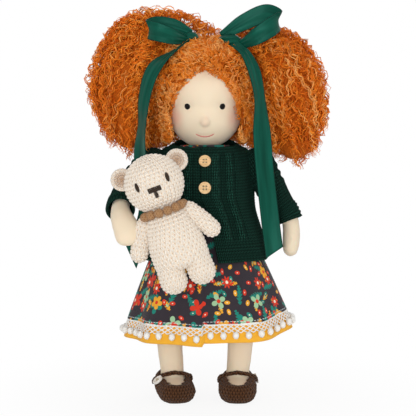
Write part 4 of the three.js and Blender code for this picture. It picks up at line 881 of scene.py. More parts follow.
white_cotton, tree, shader = finish("white_cotton_trim", Roughness=0.9, Specular_IOR_Level=0.1, Sheen_Weight=0.3)
haze = matted(tree, on_piece(tree), 0.0007, 0.006)[0]
coloured(tree, shader, blended(tree, haze, paint("#ffffff"), paint("#ece7dc")))
raised(tree, shader, haze, 0.0009, 0.9)
bpy.ops.mesh.primitive_ico_sphere_add(subdivisions=3, radius=1)
ball = bpy.context.object
fluff = coordinates(ball)
corners = np.array([list(face.vertices) for face in ball.data.polygons])
bpy.data.objects.remove(ball)
seeded = np.random.default_rng(5)
for side, (first, last) in HALVES.items():
    turn = np.linspace(first, last, round((last - first) / (2 * math.pi) * NET_CELLS * 10))
    zigzag = np.abs((turn * NET_CELLS / (2 * math.pi) * 2) % 2 - 1)
    lines, radii = [], []
    for middle, sign in ((0.27, 1), (0.27, -1), (0.73, 1), (0.73, -1)):
        below = NET_TOP + NET_HEIGHT * (middle + sign * 0.24 * (2 * zigzag - 1))
        lines.append(trim_place(turn, below, 1.0 + sign * 0.25))
        radii.append(NET_THREAD * (0.85 + 0.3 * np.abs(2 * zigzag - 1) ** 3))
    for below in (NET_TOP - 0.3, NET_TOP + 0.5):
        lines.append(trim_place(turn, np.full_like(turn, below), 1.0))
        radii.append(NET_THREAD * (1 + 0.2 * np.cos(turn * NET_CELLS * 3)))
    points, faces = tubes(lines, radii, 7)
    balls, ball_faces = [], []
    for i in range(NET_CELLS + 1):
        way = 2 * math.pi * i / NET_CELLS
        if not first < way < last:
            continue
        middle = trim_place(way, NET_TOP + NET_HEIGHT + POMPOM_DROP, POMPOM_RADIUS + 0.3)
        fuzz = 1 + 0.05 * seeded.standard_normal(len(fluff))[:, None]
        swing = seeded.uniform(-0.5, 0.5, 3) * (1, 0, 1)
        ball_faces.append(corners + len(points) + len(balls) * len(fluff))
        balls.append(middle + swing + fluff * fuzz * np.multiply(POMPOM_HALF, POMPOM_RADIUS))
    trim = new_piece(f"lace_trim_net_{side}", np.vstack([points, *balls]), faces, *ball_faces)
    lifts_with_leg(dressed(trim, white_cotton, "white_trim", None, "lace_trim"))

# ------------------------------------------------------------------ Cardigan
# Knitted in one from wool: stocking stitch with rope cables beside the button bands, a ridged hem and neck, and
# sleeves set into round armholes with ridged cuffs. The left front laps over the right one and the fronts part
# below the second button. Two wooden buttons are sewn to the band.
KNIT, KNIT_FLAT = 0.0024, (0.352, 0.113)
STITCH_WIDTH, STITCH_HEIGHT = 3.6, 2.5
HEM_Z, HEM_TOP_Z, NECK_Z, NECK_RISE, COLLAR_HEIGHT = 142, 162, 250.5, 5.1, 6.5  # the neck rises towards the back
ROUND, BAND_WIDTH = 352.0, 9.5  # from one front edge round to the other, and the band along each
CARDIGAN = [[142, 64, 52], [162, 59, 49], [190, 51, 45], [214, 49, 44], [232, 48, 40], [244, 46, 36], [250, 40.5, 33],
            [255, 31.5, 30.5], [262, 27, 28]]
VENT_TOP, VENT_HALF, VENT_HEIGHT, LAP, RIDGE = 202, 14, 69, 3.2, 3.5
WOOD_BUTTON, WOOD_PROUD = 0.0115, 0.0027  # width across, and how far it stands out of the solid's middle
CABLE_SWING, CABLE_HALF, CABLE_GROOVE = 2.5, 1.9, 6.3
CABLES = (  # how far round, and the length of one twist
    (15, 23), (32, 27), (150, 23), (170, 23), (190, 23), (312, 27), (329, 23),
)
SLEEVE_ROWS, SLEEVE_COLUMNS, CUFF_WIDTH, SLEEVE_HEAD, SLEEVE_GIRTH = 74, 104, 13.5, 15.5, 0.098
SLEEVES = {  # stations from the shoulder, share of them that is sleeve, degrees that the head turns out
    "left": ([[0, 0, 0, 18.5, 18.5], [18, -2, -29, 14, 14.5], [33, -4, -53, 11.5, 12.5], [34, -7, -71, 11.5, 12.5],
              [33, -9, -82, 11.5, 12.5]], 0.5, 15),
    "right": ([[0, 0, 0, 18.5, 18.5], [-20, -12, -20, 15.5, 14.5], [-29, -34, -36, 12.5, 12.5],
               [-27, -54, -47, 13.5, 13], [-22, -64, -56, 13.5, 13], [-20, -69, -66, 13.5, 13]], 0.48, -15),
}

# Knit: columns of V stitches along the second axis, as Height.
knit, knit_in, knit_out = node_group("knit", ["Vector", "Stitch"], ["Height"])
axes = put(knit, "SeparateXYZ", {0: knit_in.outputs["Vector"]}).outputs
across = calc(knit, "DIVIDE", axes[0], knit_in.outputs["Stitch"])
half = calc(knit, "ABSOLUTE", calc(knit, "SUBTRACT", calc(knit, "FRACT", across), 0.5))
up = calc(knit, "DIVIDE", axes[1], calc(knit, "MULTIPLY", knit_in.outputs["Stitch"], 0.8))
step = calc(knit, "FRACT", calc(knit, "SUBTRACT", up, calc(knit, "MULTIPLY", half, 1.3)))
leg = calc(knit, "POWER", calc(knit, "SINE", calc(knit, "MULTIPLY", half, 2 * math.pi)), 1.3)
loop = calc(knit, "MULTIPLY_ADD", calc(knit, "SINE", calc(knit, "MULTIPLY", step, math.pi)), 0.7, 0.3)
knit.links.new(calc(knit, "MULTIPLY", leg, loop), knit_out.inputs["Height"])

green_wool, tree, shader = finish("green_wool_knit", Roughness=0.95, Specular_IOR_Level=0.04, Sheen_Weight=0.05)
shader.inputs["Sheen Tint"].default_value = (0.35, 0.75, 0.6, 1)
along = put(tree, "UVMap", uv_map="cloth").outputs[0]
vees = use_group(tree, knit, {"Vector": along, "Stitch": STITCH_WIDTH / 1000})[0]
haze = matted(tree, on_piece(tree), 0.0006, 0.012)[0]
# Painted light and shade: the knit is coloured darker in the grooves between stitches and lighter on the raised
# stitches, cables, ridges and fold crests that the pieces note.
painted_knit_light = calc(tree, "MULTIPLY", vees, calc(tree, "MULTIPLY_ADD", noted(tree, "relief_for_painted_light"), 0.45, 0.6))
colour = blended(tree, calc(tree, "POWER", painted_knit_light, 1.6), paint("#020705"), paint("#28594a"))
coloured(tree, shader, blended(tree, calc(tree, "MULTIPLY", haze, 0.06), colour, paint("#1f4f42")))
under = raised(tree, shader, vees, 0.0010, 1.0)
raised(tree, shader, haze, 0.0005, 0.7, under)

rows, columns = 86, 284
table = smooth_line(CARDIGAN, np.linspace(0, 1, 300))
turn = np.linspace(0, 1, columns)[None, :]
rise = np.linspace(0, 1, rows)[:, None]
full_turn = turn * 2 * math.pi
top = NECK_Z + NECK_RISE * (1 - np.cos(full_turn))
z = HEM_Z + (top - HEM_Z) * rise
half_x, half_y = np.interp(z, table[:, 0], table[:, 1]), np.interp(z, table[:, 0], table[:, 2])
vent = VENT_HALF * np.clip((VENT_TOP - z) / VENT_HEIGHT, 0, 1) ** 0.9
edge = (vent - LAP * np.clip((z - VENT_TOP + 20) / 20, 0, 1)) / half_x
wound = edge + (2 * math.pi - 2 * edge) * turn
round_mm = ROUND * turn + 0 * z
band = np.clip(BAND_WIDTH - np.minimum(round_mm, ROUND - round_mm), 0, 1)
hem = np.clip((HEM_TOP_Z - z) / 1.5, 0, 1)
collar = np.clip(z - top + COLLAR_HEIGHT, 0, 1)
ridged = np.maximum(np.maximum(hem, collar), band)
proud = 0.75 * np.cos(2 * math.pi * (z - HEM_Z) / RIDGE) * ridged
plain = 1 - ridged
for middle, pitch in CABLES:
    away = round_mm - middle
    for phase in (0, math.pi):
        swing = CABLE_SWING * np.cos(2 * math.pi * z / pitch + phase)
        over = 1.9 + 0.7 * np.sin(2 * math.pi * z / pitch + phase)
        proud = proud + plain * over * np.exp(-(((away - swing) / CABLE_HALF) ** 2))
    proud = proud - plain * 0.9 * np.exp(-(((np.abs(away) - CABLE_GROOVE) / 1.2) ** 2))
column = 0.45 * np.abs(np.sin(math.pi * round_mm / STITCH_WIDTH))
stitch = (column + 0.22 * np.sin(2 * math.pi * z / STITCH_HEIGHT)) * plain
soft = swells(full_turn[0], rise[:, 0] * 3.0 + 4, 2.2)
drape = 1.3 * soft + 1.6 * (1 - rise) ** 2 * np.sin(7 * full_turn + 1.0)
lapped = 1.7 * np.clip((z - VENT_TOP + 22) / 22, 0, 1) * np.clip((12 - round_mm) / 4, 0, 1)
out = proud + stitch + drape + lapped
net = np.stack([(half_x + out) * np.sin(wound), -(half_y + out) * np.cos(wound), z + 0 * wound], -1)
cardigan = net_piece("cardigan_knit", net, False, KNIT_FLAT)
# How far the knit stands out at its ridges and cables, kept for its painted light and shade.
note_down(cardigan, "relief_for_painted_light", np.clip((proud + 0.9) / 3.0, 0, 1))
thick(with_armholes(cardigan, 15.0), KNIT)
dressed(cardigan, green_wool, "green_knit", "torso", "cardigan_body")

for side, (stations, until, swing_out) in SLEEVES.items():
    pivot = np.array(SHOULDER_PIVOTS[side], float)
    stations = np.array(stations, float)
    stations[:, :3] += pivot
    net = stuffed_rings(stations, SLEEVE_ROWS, SLEEVE_COLUMNS, (1, 0), until=until, ends=26)
    run = np.concatenate([[0], np.cumsum(np.linalg.norm(np.diff(net.mean(1), axis=0), axis=1))])[:, None]
    to_cuff = run[-1] - run
    cuff = np.clip(CUFF_WIDTH - to_cuff, 0, 1)
    middle = net.mean(1, keepdims=True)
    way = (net - middle) / np.maximum(np.linalg.norm(net - middle, axis=2, keepdims=True), 1e-6)
    turn = np.arange(SLEEVE_COLUMNS)[None, :] * 2 * math.pi / SLEEVE_COLUMNS
    soft = swells(turn[0], run[:, 0] * 0.09, 1.6)
    wander = 2.0 * np.sin(turn + (0 if side == "left" else 2))
    folds = 0.9 * np.exp(-(((run - 34) / 9) ** 2)) * np.sin(run * 0.75 + wander)
    proud = 0.55 * np.cos(2 * math.pi * to_cuff / 3.3) * cuff + 0.9 * cuff
    proud = proud + (0.35 * np.abs(np.sin(16 * turn)) + 0.8 * soft + folds) * (1 - cuff)
    proud = proud * np.clip(run / 12, 0, 1)
    size = (SLEEVE_GIRTH, float(run[-1, 0]) / 1000)
    sleeve = net_piece(f"sleeve_{side}_knit", net + way * proud[:, :, None], True, size)
    # How far the sleeve stands out at its cuff ridges, swells and folds, kept for its painted light and shade.
    note_down(sleeve, "relief_for_painted_light", np.clip((proud - 0.2) / 1.6, 0.15, 1))
    inward = np.array([math.cos(math.radians(swing_out)), math.sin(math.radians(swing_out)), 0])
    inward *= -1 if side == "left" else 1
    without(sleeve, (own_places(sleeve) - pivot) @ inward > SLEEVE_HEAD)
    thick(sleeve, KNIT)
    dressed(sleeve, green_wool, "green_knit", f"arm_{side}", f"sleeve_{side}")

wood, tree, shader = finish("waxed_wood", Roughness=0.5, Specular_IOR_Level=0.35, Coat_Weight=0.12, Coat_Roughness=0.3)
stretched = put(tree, "Mapping", {"Vector": on_piece(tree), "Scale": (260, 260, 1600)}).outputs[0]
grain = put(tree, "TexNoise", {"Vector": stretched, "Scale": 1.0, "Detail": 4.0, "Roughness": 0.6}).outputs[0]
coloured(tree, shader, blended(tree, ranged(tree, grain, 0.35, 0.7), paint("#ecca98"), paint("#c99a60")))
raised(tree, shader, grain, 0.0001, 0.5)
pale_thread = thread("button_thread", "#c9b48e")


def lie_of(node, inside):
    """The middle of a flat round solid, and the way that it faces, away from a point inside the doll."""
    spots = coordinates(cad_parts[node])
    middle = (spots.max(0) + spots.min(0)) / 2
    way = np.linalg.eigh(np.cov((spots - spots.mean(0)).T))[1][:, 0]
    return middle, way * np.sign((middle - placed(inside)) @ way)


def sewn_button(name, diameter, lie, proud, cup=0.00045):
    """A four-hole button turned with a raised rim, as a piece at its place."""
    middle, way = lie
    reach = diameter * 0.125  # how far out the holes are, across and up
    bpy.ops.mesh.primitive_cylinder_add(vertices=64, radius=diameter / 2, depth=0.0022)
    button = bpy.context.object
    button.name = name
    bpy.ops.object.mode_set(mode="EDIT")
    bpy.ops.mesh.select_mode(type="FACE")
    bpy.ops.mesh.select_all(action="DESELECT")
    bpy.ops.object.mode_set(mode="OBJECT")
    for face in button.data.polygons:
        face.select = face.normal.z > 0.9
    bpy.ops.object.mode_set(mode="EDIT")
    bpy.ops.mesh.inset(thickness=diameter * 0.09)
    bpy.ops.mesh.inset(thickness=diameter * 0.05)
    bpy.ops.transform.translate(value=(0, 0, -cup))
    bpy.ops.mesh.inset(thickness=diameter * 0.1)
    bpy.ops.object.mode_set(mode="OBJECT")
    for x, y in ((1, 1), (-1, 1), (-1, -1), (1, -1)):
        bpy.ops.mesh.primitive_cylinder_add(vertices=20, radius=diameter * 0.068, depth=0.01,
                                            location=(x * reach, y * reach, 0))
        drill = bpy.context.object
        hole = button.modifiers.new("hole", "BOOLEAN")
        hole.object, hole.operation = drill, "DIFFERENCE"
        only(button)
        bpy.ops.object.modifier_apply(modifier="hole")
        bpy.data.objects.remove(drill)
    edge = button.modifiers.new("worn_edge", "BEVEL")
    edge.width, edge.segments, edge.limit_method = 0.00022, 3, "ANGLE"
    apply_all(button)
    turn = Vector((0, 0, 1)).rotation_difference(Vector(way)).to_matrix().to_4x4()
    turn.translation = Vector(middle) + Vector(way) * proud
    button.data.transform(turn)
    only(button)
    bpy.ops.object.shade_smooth_by_angle(angle=math.radians(35))
    arc = np.linspace(0, math.pi, 9)
    share = -np.cos(arc)
    rise = 0.0002 + 0.0009 * np.sin(arc) - 0.0006 * (np.abs(share) > 0.9)
    lines = []
    for y in (-1, 1):
        lines.append(np.stack([reach * share, np.full_like(share, reach * y), rise], 1))
    points, faces = tubes(lines, 0.00034, 6)
    lashing = new_piece(name + "_thread", points * 1000 - MIDDLE, faces)
    lashing.data.transform(turn)
    lashing.data.materials.append(pale_thread)
    return button, lashing


for step in ("upper", "lower"):
    lie = lie_of(f"cardigan_button_{step}", (0, 0, 224))
    button, lashing = sewn_button(f"cardigan_button_{step}_wood", WOOD_BUTTON, lie, WOOD_PROUD)
    dressed(button, wood, "wooden_button", "torso", f"cardigan_button_{step}")
    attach(lashing, "torso")

# ------------------------------------------------------------------ Shoes
# Crocheted in brown yarn, in rows of V stitches that run round from the sole to the throat. A crocheted strap goes
# over the instep and is held by a pearly button at its end.
SHOES = {"left": (33, -2), "right": (-33, 12)}  # how far aside, and degrees that the toe turns
SHOE_STITCH, SHOE_DEPTH, STRAP_STITCH, STRAP_DEPTH = (3.5, 3.0), 0.65, (4.2, 2.6), 0.45
PEARL_BUTTON, PEARL_PROUD, PEARL_CUP = 0.0105, 0.0004, 0.0006
SOLE_Z, HEEL_Y, TOE_Y, SOLE_RADIUS, HEEL_ARC = 8, -24, 8, 17, 26.7  # the sole is an oval of two half rounds

# Crochet: V stitches in a map that counts in stitches, as Height and as the Hole between them.
crochet, crochet_in, crochet_out = node_group("crochet", ["Vector"], ["Height", "Hole"])
axes = put(crochet, "SeparateXYZ", {0: crochet_in.outputs["Vector"]}).outputs
above = calc(crochet, "FRACT", axes[1])
shift = calc(crochet, "MULTIPLY_ADD", calc(crochet, "FLOOR", axes[1]), 0.5, axes[0])
half = calc(crochet, "ABSOLUTE", calc(crochet, "SUBTRACT", calc(crochet, "FRACT", shift), 0.5))
off = calc(crochet, "DIVIDE", calc(crochet, "SUBTRACT", half, calc(crochet, "MULTIPLY_ADD", above, 0.22, 0.10)), 0.13)
leg = calc(crochet, "EXPONENT", calc(crochet, "MULTIPLY", calc(crochet, "MULTIPLY", off, off), -1.0))
swell = calc(crochet, "POWER", calc(crochet, "SINE", calc(crochet, "MULTIPLY", above, math.pi)), 0.5)
ply = calc(crochet, "MULTIPLY_ADD", above, 1.2, half)
ply = calc(crochet, "SINE", calc(crochet, "MULTIPLY", ply, 30))
body = calc(crochet, "MULTIPLY", leg, swell)
crochet.links.new(calc(crochet, "MULTIPLY_ADD", calc(crochet, "MULTIPLY", ply, body), 0.10, body),
                  crochet_out.inputs["Height"])
side_hole = calc(crochet, "DIVIDE", calc(crochet, "SUBTRACT", 0.5, half), 0.14)
side_hole = calc(crochet, "SUBTRACT", 1, side_hole, clamp=True)
low = calc(crochet, "ABSOLUTE", calc(crochet, "SUBTRACT", above, 0.22))
low = calc(crochet, "SUBTRACT", 1, calc(crochet, "MULTIPLY", low, 3.6), clamp=True)
crochet.links.new(calc(crochet, "MULTIPLY", side_hole, low), crochet_out.inputs["Hole"])


def crochet_yarn(name, lit_stitch_top, shaded_stitch_foot, hole, relief=0.0007):
    """Crocheted yarn, whose stitches follow the piece's map in stitches; its colour holds painted light on the stitch
    tops and painted shade at their feet, in the holes and in a noted dish.
    """
    material, tree, shader = finish(name, Roughness=0.9, Specular_IOR_Level=0.1, Sheen_Weight=0.15)
    along = put(tree, "UVMap", uv_map="stitches").outputs[0]
    height, gap = use_group(tree, crochet, {"Vector": along})
    haze = matted(tree, on_piece(tree), 0.0005, 0.006)[0]
    # Painted light and shade: lighter where a stitch stands out, darker at its foot.
    colour = blended(tree, height, paint(shaded_stitch_foot), paint(lit_stitch_top))
    # Painted shade in the holes between the stitches.
    colour = blended(tree, calc(tree, "MULTIPLY", gap, 0.9), colour, paint(hole))
    # Painted shade in the dish of an ear, where the piece notes it as inside.
    colour = blended(tree, noted(tree, "inside"), colour, paint(hole))
    shade = calc(tree, "MULTIPLY_ADD", haze, 0.16, 0.9)
    coloured(tree, shader, blended(tree, 1.0, colour, shade, "MULTIPLY"))
    under = raised(tree, shader, height, relief, 0.8)
    raised(tree, shader, haze, 0.0003, 0.5, under)
    return material


def stitch_height(u, v):
    """How far a crochet stitch stands out at a place that is counted in stitches, from 0 to 1."""
    above = v % 1
    half = np.abs((u + 0.5 * np.floor(v)) % 1 - 0.5)
    return np.exp(-(((half - 0.10 - 0.22 * above) / 0.17) ** 2)) * np.sin(math.pi * above) ** 0.5


def normals(piece):
    """The way that each point of a piece faces."""
    found = np.empty(len(piece.data.vertices) * 3, np.float32)
    piece.data.vertex_normals.foreach_get("vector", found)
    return found.reshape(-1, 3).astype(float)


def map_stitches(piece, u, v, count):
    """Lays the map in stitches over any mesh, from its points' places; `count` is how often it goes round."""
    corner = np.empty(len(piece.data.loops), np.int32)
    piece.data.loops.foreach_get("vertex_index", corner)
    start = np.empty(len(piece.data.polygons), np.int32)
    piece.data.polygons.foreach_get("loop_start", start)
    sizes = np.diff(np.append(start, len(corner)))
    first = np.repeat(u[corner[start]], sizes)
    across = u[corner] + count * np.round((first - u[corner]) / count)
    layer = piece.data.uv_layers.new(name="stitches")
    layer.data.foreach_set("uv", np.stack([across, v[corner]], 1).astype(np.float32).ravel())


def pushed(piece, metres):
    """Moves each point out along its normal."""
    set_coordinates(piece, coordinates(piece) + normals(piece) * np.asarray(metres)[:, None])


# Stitch tops with painted light, stitch feet and holes with painted shade.
brown_yarn = crochet_yarn("brown_crochet_yarn", "#6b4527", "#301a0c", "#170b05")
pearl, tree, shader = finish("pearly_white", Roughness=0.22, Specular_IOR_Level=0.5, Coat_Weight=0.3)
swirl = put(tree, "TexNoise", {"Vector": on_piece(tree), "Scale": 260.0, "Detail": 2.0}).outputs[0]
coloured(tree, shader, blended(tree, swirl, paint("#efeadf"), paint("#dcd8d3")))

for side, (aside, toe_out) in SHOES.items():
    shoe = softened(f"shoe_{side}_crochet", f"shoe_{side}", voxel=0.00095, settle=14)
    x, y, z = (own_places(shoe) - (aside, 0, SOLE_Z)).T
    c, s = math.cos(math.radians(toe_out)), math.sin(math.radians(toe_out))
    x, y = c * x + s * y, c * y - s * x
    past = y - np.clip(y, HEEL_Y, TOE_Y)
    around = np.arctan2(x, -past)
    at_toe = 2 * HEEL_ARC + TOE_Y - HEEL_Y - SOLE_RADIUS * (math.pi / 2 - np.abs(around))
    u = np.sign(x) * np.where(y > TOE_Y, at_toe, HEEL_ARC + y - HEEL_Y)
    u = np.where(y < HEEL_Y, around * SOLE_RADIUS, u) / SHOE_STITCH[0]
    v = np.arctan2(z, np.hypot(x, past)) * SOLE_RADIUS / SHOE_STITCH[1] + 40
    outer = (normals(shoe) * np.stack([x, past, z], 1)).sum(1) > 0
    side_wall = np.clip((z + 7.6) / 1.5, 0, 1) * outer
    pushed(shoe, stitch_height(u, v) * side_wall * SHOE_DEPTH / 1000)
    map_stitches(shoe, u, v, 48)
    shoe.data.shade_smooth()
    dressed(shoe, brown_yarn, "brown_crochet", f"leg_{side}", f"shoe_{side}")

    strap = softened(f"shoe_strap_{side}_crochet", f"shoe_strap_{side}", voxel=0.0006, settle=5)
    x, y, z = (own_places(strap) - (aside, 0, 0)).T
    u, v = (y + 0.6 * z) / STRAP_STITCH[0], np.arctan2(x, z - 6) * 20 / STRAP_STITCH[1] + 60
    pushed(strap, stitch_height(u, v) * STRAP_DEPTH / 1000)
    map_stitches(strap, u, v, 400)
    strap.data.shade_smooth()
    dressed(strap, brown_yarn, "brown_crochet", f"leg_{side}", f"shoe_strap_{side}")

    lie = lie_of(f"shoe_button_{side}", (aside, 0, 10))
    button, lashing = sewn_button(f"shoe_button_{side}_pearl", PEARL_BUTTON, lie, PEARL_PROUD, PEARL_CUP)
    dressed(button, pearl, "white_button", f"leg_{side}", f"shoe_button_{side}")
    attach(lashing, f"leg_{side}")

# ------------------------------------------------------------------ Hair
# A wig of curly copper mohair: a cap of short frizzy curls over the skull, with small light curls along its edge
# round the face, and two big bunches tied high at the sides. Every lock is a few crimped strands that curl together.
CAP = [[0, 3, 261.5, 40.5, 37.5], [0, 2, 278.5, 46.5, 44.5], [0, 1, 298.5, 50.5, 49.5], [0, 1, 317.5, 50.5, 48.5]]
CROWN_MIDDLE, CROWN_HALF = (0, 1, 317.5), (50.5, 48.5, 41.5)  # the cap's upper part is an egg of these half sizes
ARCH_Z, FACE_EDGE, FACE_LOW = 285, 35, 279
CAP_SINK, CAP_LOCKS, SIDE_LOCKS, BACK_LOCKS, FRONT_LOCKS = 2.0, 476, 110, 84, 46
EDGE_LOCKS, BUNCH_LOCKS, CROWN_LOCKS, LOOSE_LOCKS = 220, 98, 76, 48
HAIR_STEPS, CAP_STEPS, EDGE_STEPS = 38, 27, 20
LONG_CRIMP, CAP_CRIMP, EDGE_CRIMP = (0.55, 7.0), (0.6, 5.5), (0.5, 4.5)  # a strand's own curl: reach and pitch
BUNCHES = {
    "left": [[42, 12, 353, 21, 19], [72, 11, 334.5, 35, 33], [86, 9, 297.5, 36, 36], [90, 6, 254.5, 23, 25]],
    "right": [[-36, 12, 366, 24, 20], [-64, 11, 344.5, 39, 34], [-79, 9, 301.5, 37, 36], [-79, 6, 263, 26, 25]],
    "crown": [[12, 18, 348, 12, 13], [-6, 17, 357, 20, 17], [-28, 15, 364, 25, 20]],
}
HEMS = {  # how far from the doll's middle, and the height above which hair ends there
    "left": ((0, 258), (52, 252), (82, 233), (97, 229), (112, 244), (121, 266), (128, 292)),
    "right": ((0, 258), (46, 254), (68, 237), (86, 239), (101, 258), (109, 280), (116, 300)),
    "crown": ((0, 330), (200, 330)),
    "locks": ((0, 258), (34, 253), (46, 247.5), (60, 246), (90, 238)),
}
combed = np.random.default_rng(11)

copper, tree, shader = finish("copper_mohair", Roughness=0.5, Specular_IOR_Level=0.12)
ramp = put(tree, "ValToRGB", {0: noted(tree, "tone")})
stops = ramp.color_ramp.elements
stops[0].color, stops[1].color = paint("#c95a0c"), paint("#ffb768")
for at, code in ((0.35, "#e6761a"), (0.75, "#f7922c")):
    stops.new(at).color = paint(code)
coloured(tree, shader, ramp.outputs[0])
# Painted shade: a copper darker than any strand, for the fill under the curls, standing in for the shade deep in the
# hair.
painted_shade_fill, tree, shader = finish("copper_painted_shade_fill", Roughness=0.8, Specular_IOR_Level=0.05)
haze, patch = matted(tree, on_piece(tree), 0.0018, 0.012)
coloured(tree, shader, blended(tree, patch, paint("#a0490f"), paint("#c8661c")))
raised(tree, shader, haze, 0.0015, 1.0)


def frames_of(lines):
    """Lengths along lines of points, and two ways square to them."""
    along = np.gradient(lines, axis=1)
    step = np.linalg.norm(along, axis=2, keepdims=True)
    along = along / np.maximum(step, 1e-9)
    first = np.cross(along, combed.normal(size=(len(lines), 1, 3)))
    first /= np.maximum(np.linalg.norm(first, axis=2, keepdims=True), 1e-9)
    return np.cumsum(step, axis=1), first, np.cross(along, first)


def wound(lines, reach, pitch, spread=1.0):
    """Lines wound into curls of about this reach and pitch, each with a size of its own."""
    count = len(lines)
    run, first, second = frames_of(lines)
    turn = 2 * math.pi * run / (pitch * combed.uniform(0.7, 1.6, (count, 1, 1)))
    turn = turn + combed.uniform(0, 2 * math.pi, (count, 1, 1))
    size = reach * combed.uniform(1 - 0.5 * spread, 1 + 0.5 * spread, (count, 1, 1)) * np.clip(run / 7, 0.3, 1)
    return lines + size * (first * np.cos(turn) + second * np.sin(turn) * combed.choice([-1, 1], (count, 1, 1)))


def bent(lines, reach):
    """Lines with slow bends, each of its own."""
    share = np.linspace(0, 1, lines.shape[1])[None, :, None]
    bend = sum(combed.normal(size=(len(lines), 1, 3)) * reach / k *
               np.sin(math.pi * k * share + combed.uniform(0, math.pi, (len(lines), 1, 1))) for k in (1, 2, 3))
    return lines + bend - bend[:, :1]


def strands(name, locks, tones, thick_mm, loose, crimp, many=4):
    """A piece of hair: each lock becomes strands that keep together, `loose` apart and with a `crimp` of their own."""
    lines = np.repeat(locks, many, axis=0)
    _, first, second = frames_of(lines)
    lean = combed.uniform(0, 2 * math.pi, (len(lines), 1, 1))
    reach = loose * combed.uniform(0.2, 1, (len(lines), 1, 1))
    fray = 0.8 + 0.7 * np.linspace(0, 1, lines.shape[1])[None, :, None] ** 2
    lines = lines + fray * reach * (first * np.cos(lean) + second * np.sin(lean))
    lines = wound(lines, *crimp)
    share = np.linspace(0, 1, lines.shape[1])
    taper = np.minimum(1, np.minimum(0.5 + share * 6, (1.02 - share) * 7) ** 0.6)
    radii = thick_mm * combed.uniform(0.6, 1.25, (len(lines), 1)) * taper[None, :]
    points, faces = tubes(lines, radii, 3)
    piece = new_piece(name, points, faces)
    own = np.clip(np.repeat(tones, many) + combed.normal(0, 0.22, len(lines)), 0, 1)
    note_down(piece, "tone", np.repeat(own, lines.shape[1] * 3))
    return piece


def cap_at(z):
    """The cap's half width, half depth and middle at a height."""
    _, middles, heights, widths, depths = np.transpose(CAP)
    return (np.interp(z, heights, sizes) for sizes in (widths, depths, middles))


def cap_place(points, out):
    """Points moved onto the cap's outer form, and out from it."""
    points = np.array(points, float)
    x, y, z = np.moveaxis(points, -1, 0)
    half_x, half_y, mid_y = cap_at(z)
    turn = np.arctan2((y - mid_y) / half_y, x / half_x)
    low = np.stack([(half_x + out) * np.cos(turn), mid_y + (half_y + out) * np.sin(turn), z], -1)
    way = (points - CROWN_MIDDLE) / CROWN_HALF
    way /= np.maximum(np.linalg.norm(way, axis=-1, keepdims=True), 1e-9)
    high = CROWN_MIDDLE + way * (CROWN_HALF + np.asarray(out)[..., None])
    return np.where((z > CROWN_MIDDLE[2])[..., None], high, low)


bend = np.linspace(0, 1, 60)[:, None]
arch_line = ((1 - bend) ** 3 * (34, 278.5) + 3 * (1 - bend) ** 2 * bend * (32, 302.5)
             + 3 * (1 - bend) * bend**2 * np.array((17, 317.5)) + bend**3 * np.array((0, 325.5)))
arch_line = np.vstack([[34, 250], arch_line])
arch_turn = np.arctan2(arch_line[:, 1] - ARCH_Z, arch_line[:, 0])
arch_reach = np.hypot(arch_line[:, 0], arch_line[:, 1] - ARCH_Z)


def beside_face(points, margin=0.8):
    """Points of the front of the cap that lie in the face's opening, moved out to its edge."""
    x, y, z = np.moveaxis(points, -1, 0)
    turn, reach = np.arctan2(z - ARCH_Z, np.abs(x)), np.hypot(x, z - ARCH_Z)
    edge = np.interp(turn, arch_turn, arch_reach) + margin
    inside = (y < -6) & (reach < edge)
    grow = np.where(inside & (z > FACE_LOW), edge / np.maximum(reach, 1e-6), 1)
    low = (y < -6) & (z <= FACE_LOW) & (np.abs(x) < FACE_EDGE)
    beside = np.where(low, np.where(x < 0, -FACE_EDGE, FACE_EDGE), x * grow)
    return np.stack([beside, y, ARCH_Z + (z - ARCH_Z) * grow], -1)


# Short curls over the cap, combed towards the ties above and down beside the face below.
start = combed.normal(size=(CAP_LOCKS * 3, 3))
start = start / np.linalg.norm(start, axis=1, keepdims=True) * (50, 48, 44) + (0, 1, 314)
start[:, 2] = np.where(start[:, 2] < 308, 264 + (start[:, 2] - 270) * 44 / 38, start[:, 2])
in_face = np.abs(beside_face(start, 1.5) - start).max(1) > 0
start = start[~in_face][:CAP_LOCKS]
turn, sign = combed.uniform(-0.9, 0.3, SIDE_LOCKS), combed.choice([-1, 1], SIDE_LOCKS)
beside = np.stack([sign * 46 * np.cos(turn), 44 * np.sin(turn), combed.uniform(264, 312, SIDE_LOCKS)], 1)
behind, ahead = (
    np.stack([combed.uniform(-wide, wide, count), np.full(count, y), combed.uniform(*heights, count)], 1)
    for wide, y, heights, count in ((34, 46.0, (264, 322), BACK_LOCKS), (15, -38.0, (329, 350), FRONT_LOCKS)))
start = np.vstack([start, beside, behind, ahead])
spots, lines = cap_place(start, np.zeros(len(start))), []
to_left = start[:, 0] + combed.normal(0, 9, len(start)) > 0
tie = np.stack([np.where(to_left, 34.0, -32.0), np.full(len(start), 2.0), np.full(len(start), 356.0)], 1)
swerve = combed.normal(0, 0.75, (len(start), 3))
for step in range(CAP_STEPS):
    lines.append(spots)
    to_tie = tie - spots
    to_tie /= np.maximum(np.linalg.norm(to_tie, axis=1, keepdims=True), 8)
    low = np.clip((306 - spots[:, 2:]) / 26, 0, 1)
    way = to_tie * (1 - low) + np.array([0, 0, -1.0]) * low + swerve
    way /= np.linalg.norm(way, axis=1, keepdims=True)
    spots = cap_place(beside_face(spots + way * combed.uniform(1.0, 1.4, (len(spots), 1))), np.zeros(len(spots)))
    spots[:, 2] = np.maximum(spots[:, 2], 259)
lines = np.stack(lines, 1)
share = np.linspace(0, 1, CAP_STEPS)[None, :]
lift = 2.4 * np.sin(math.pi * share) * combed.uniform(0.1, 1.5, (len(lines), 1)) - 0.6 - CAP_SINK * share**2
lines = cap_place(lines, lift)
ear_spot = np.array([43.0, -2.0, 294.0])
clear = np.linalg.norm(lines - ear_spot, axis=2).min(1) > 9
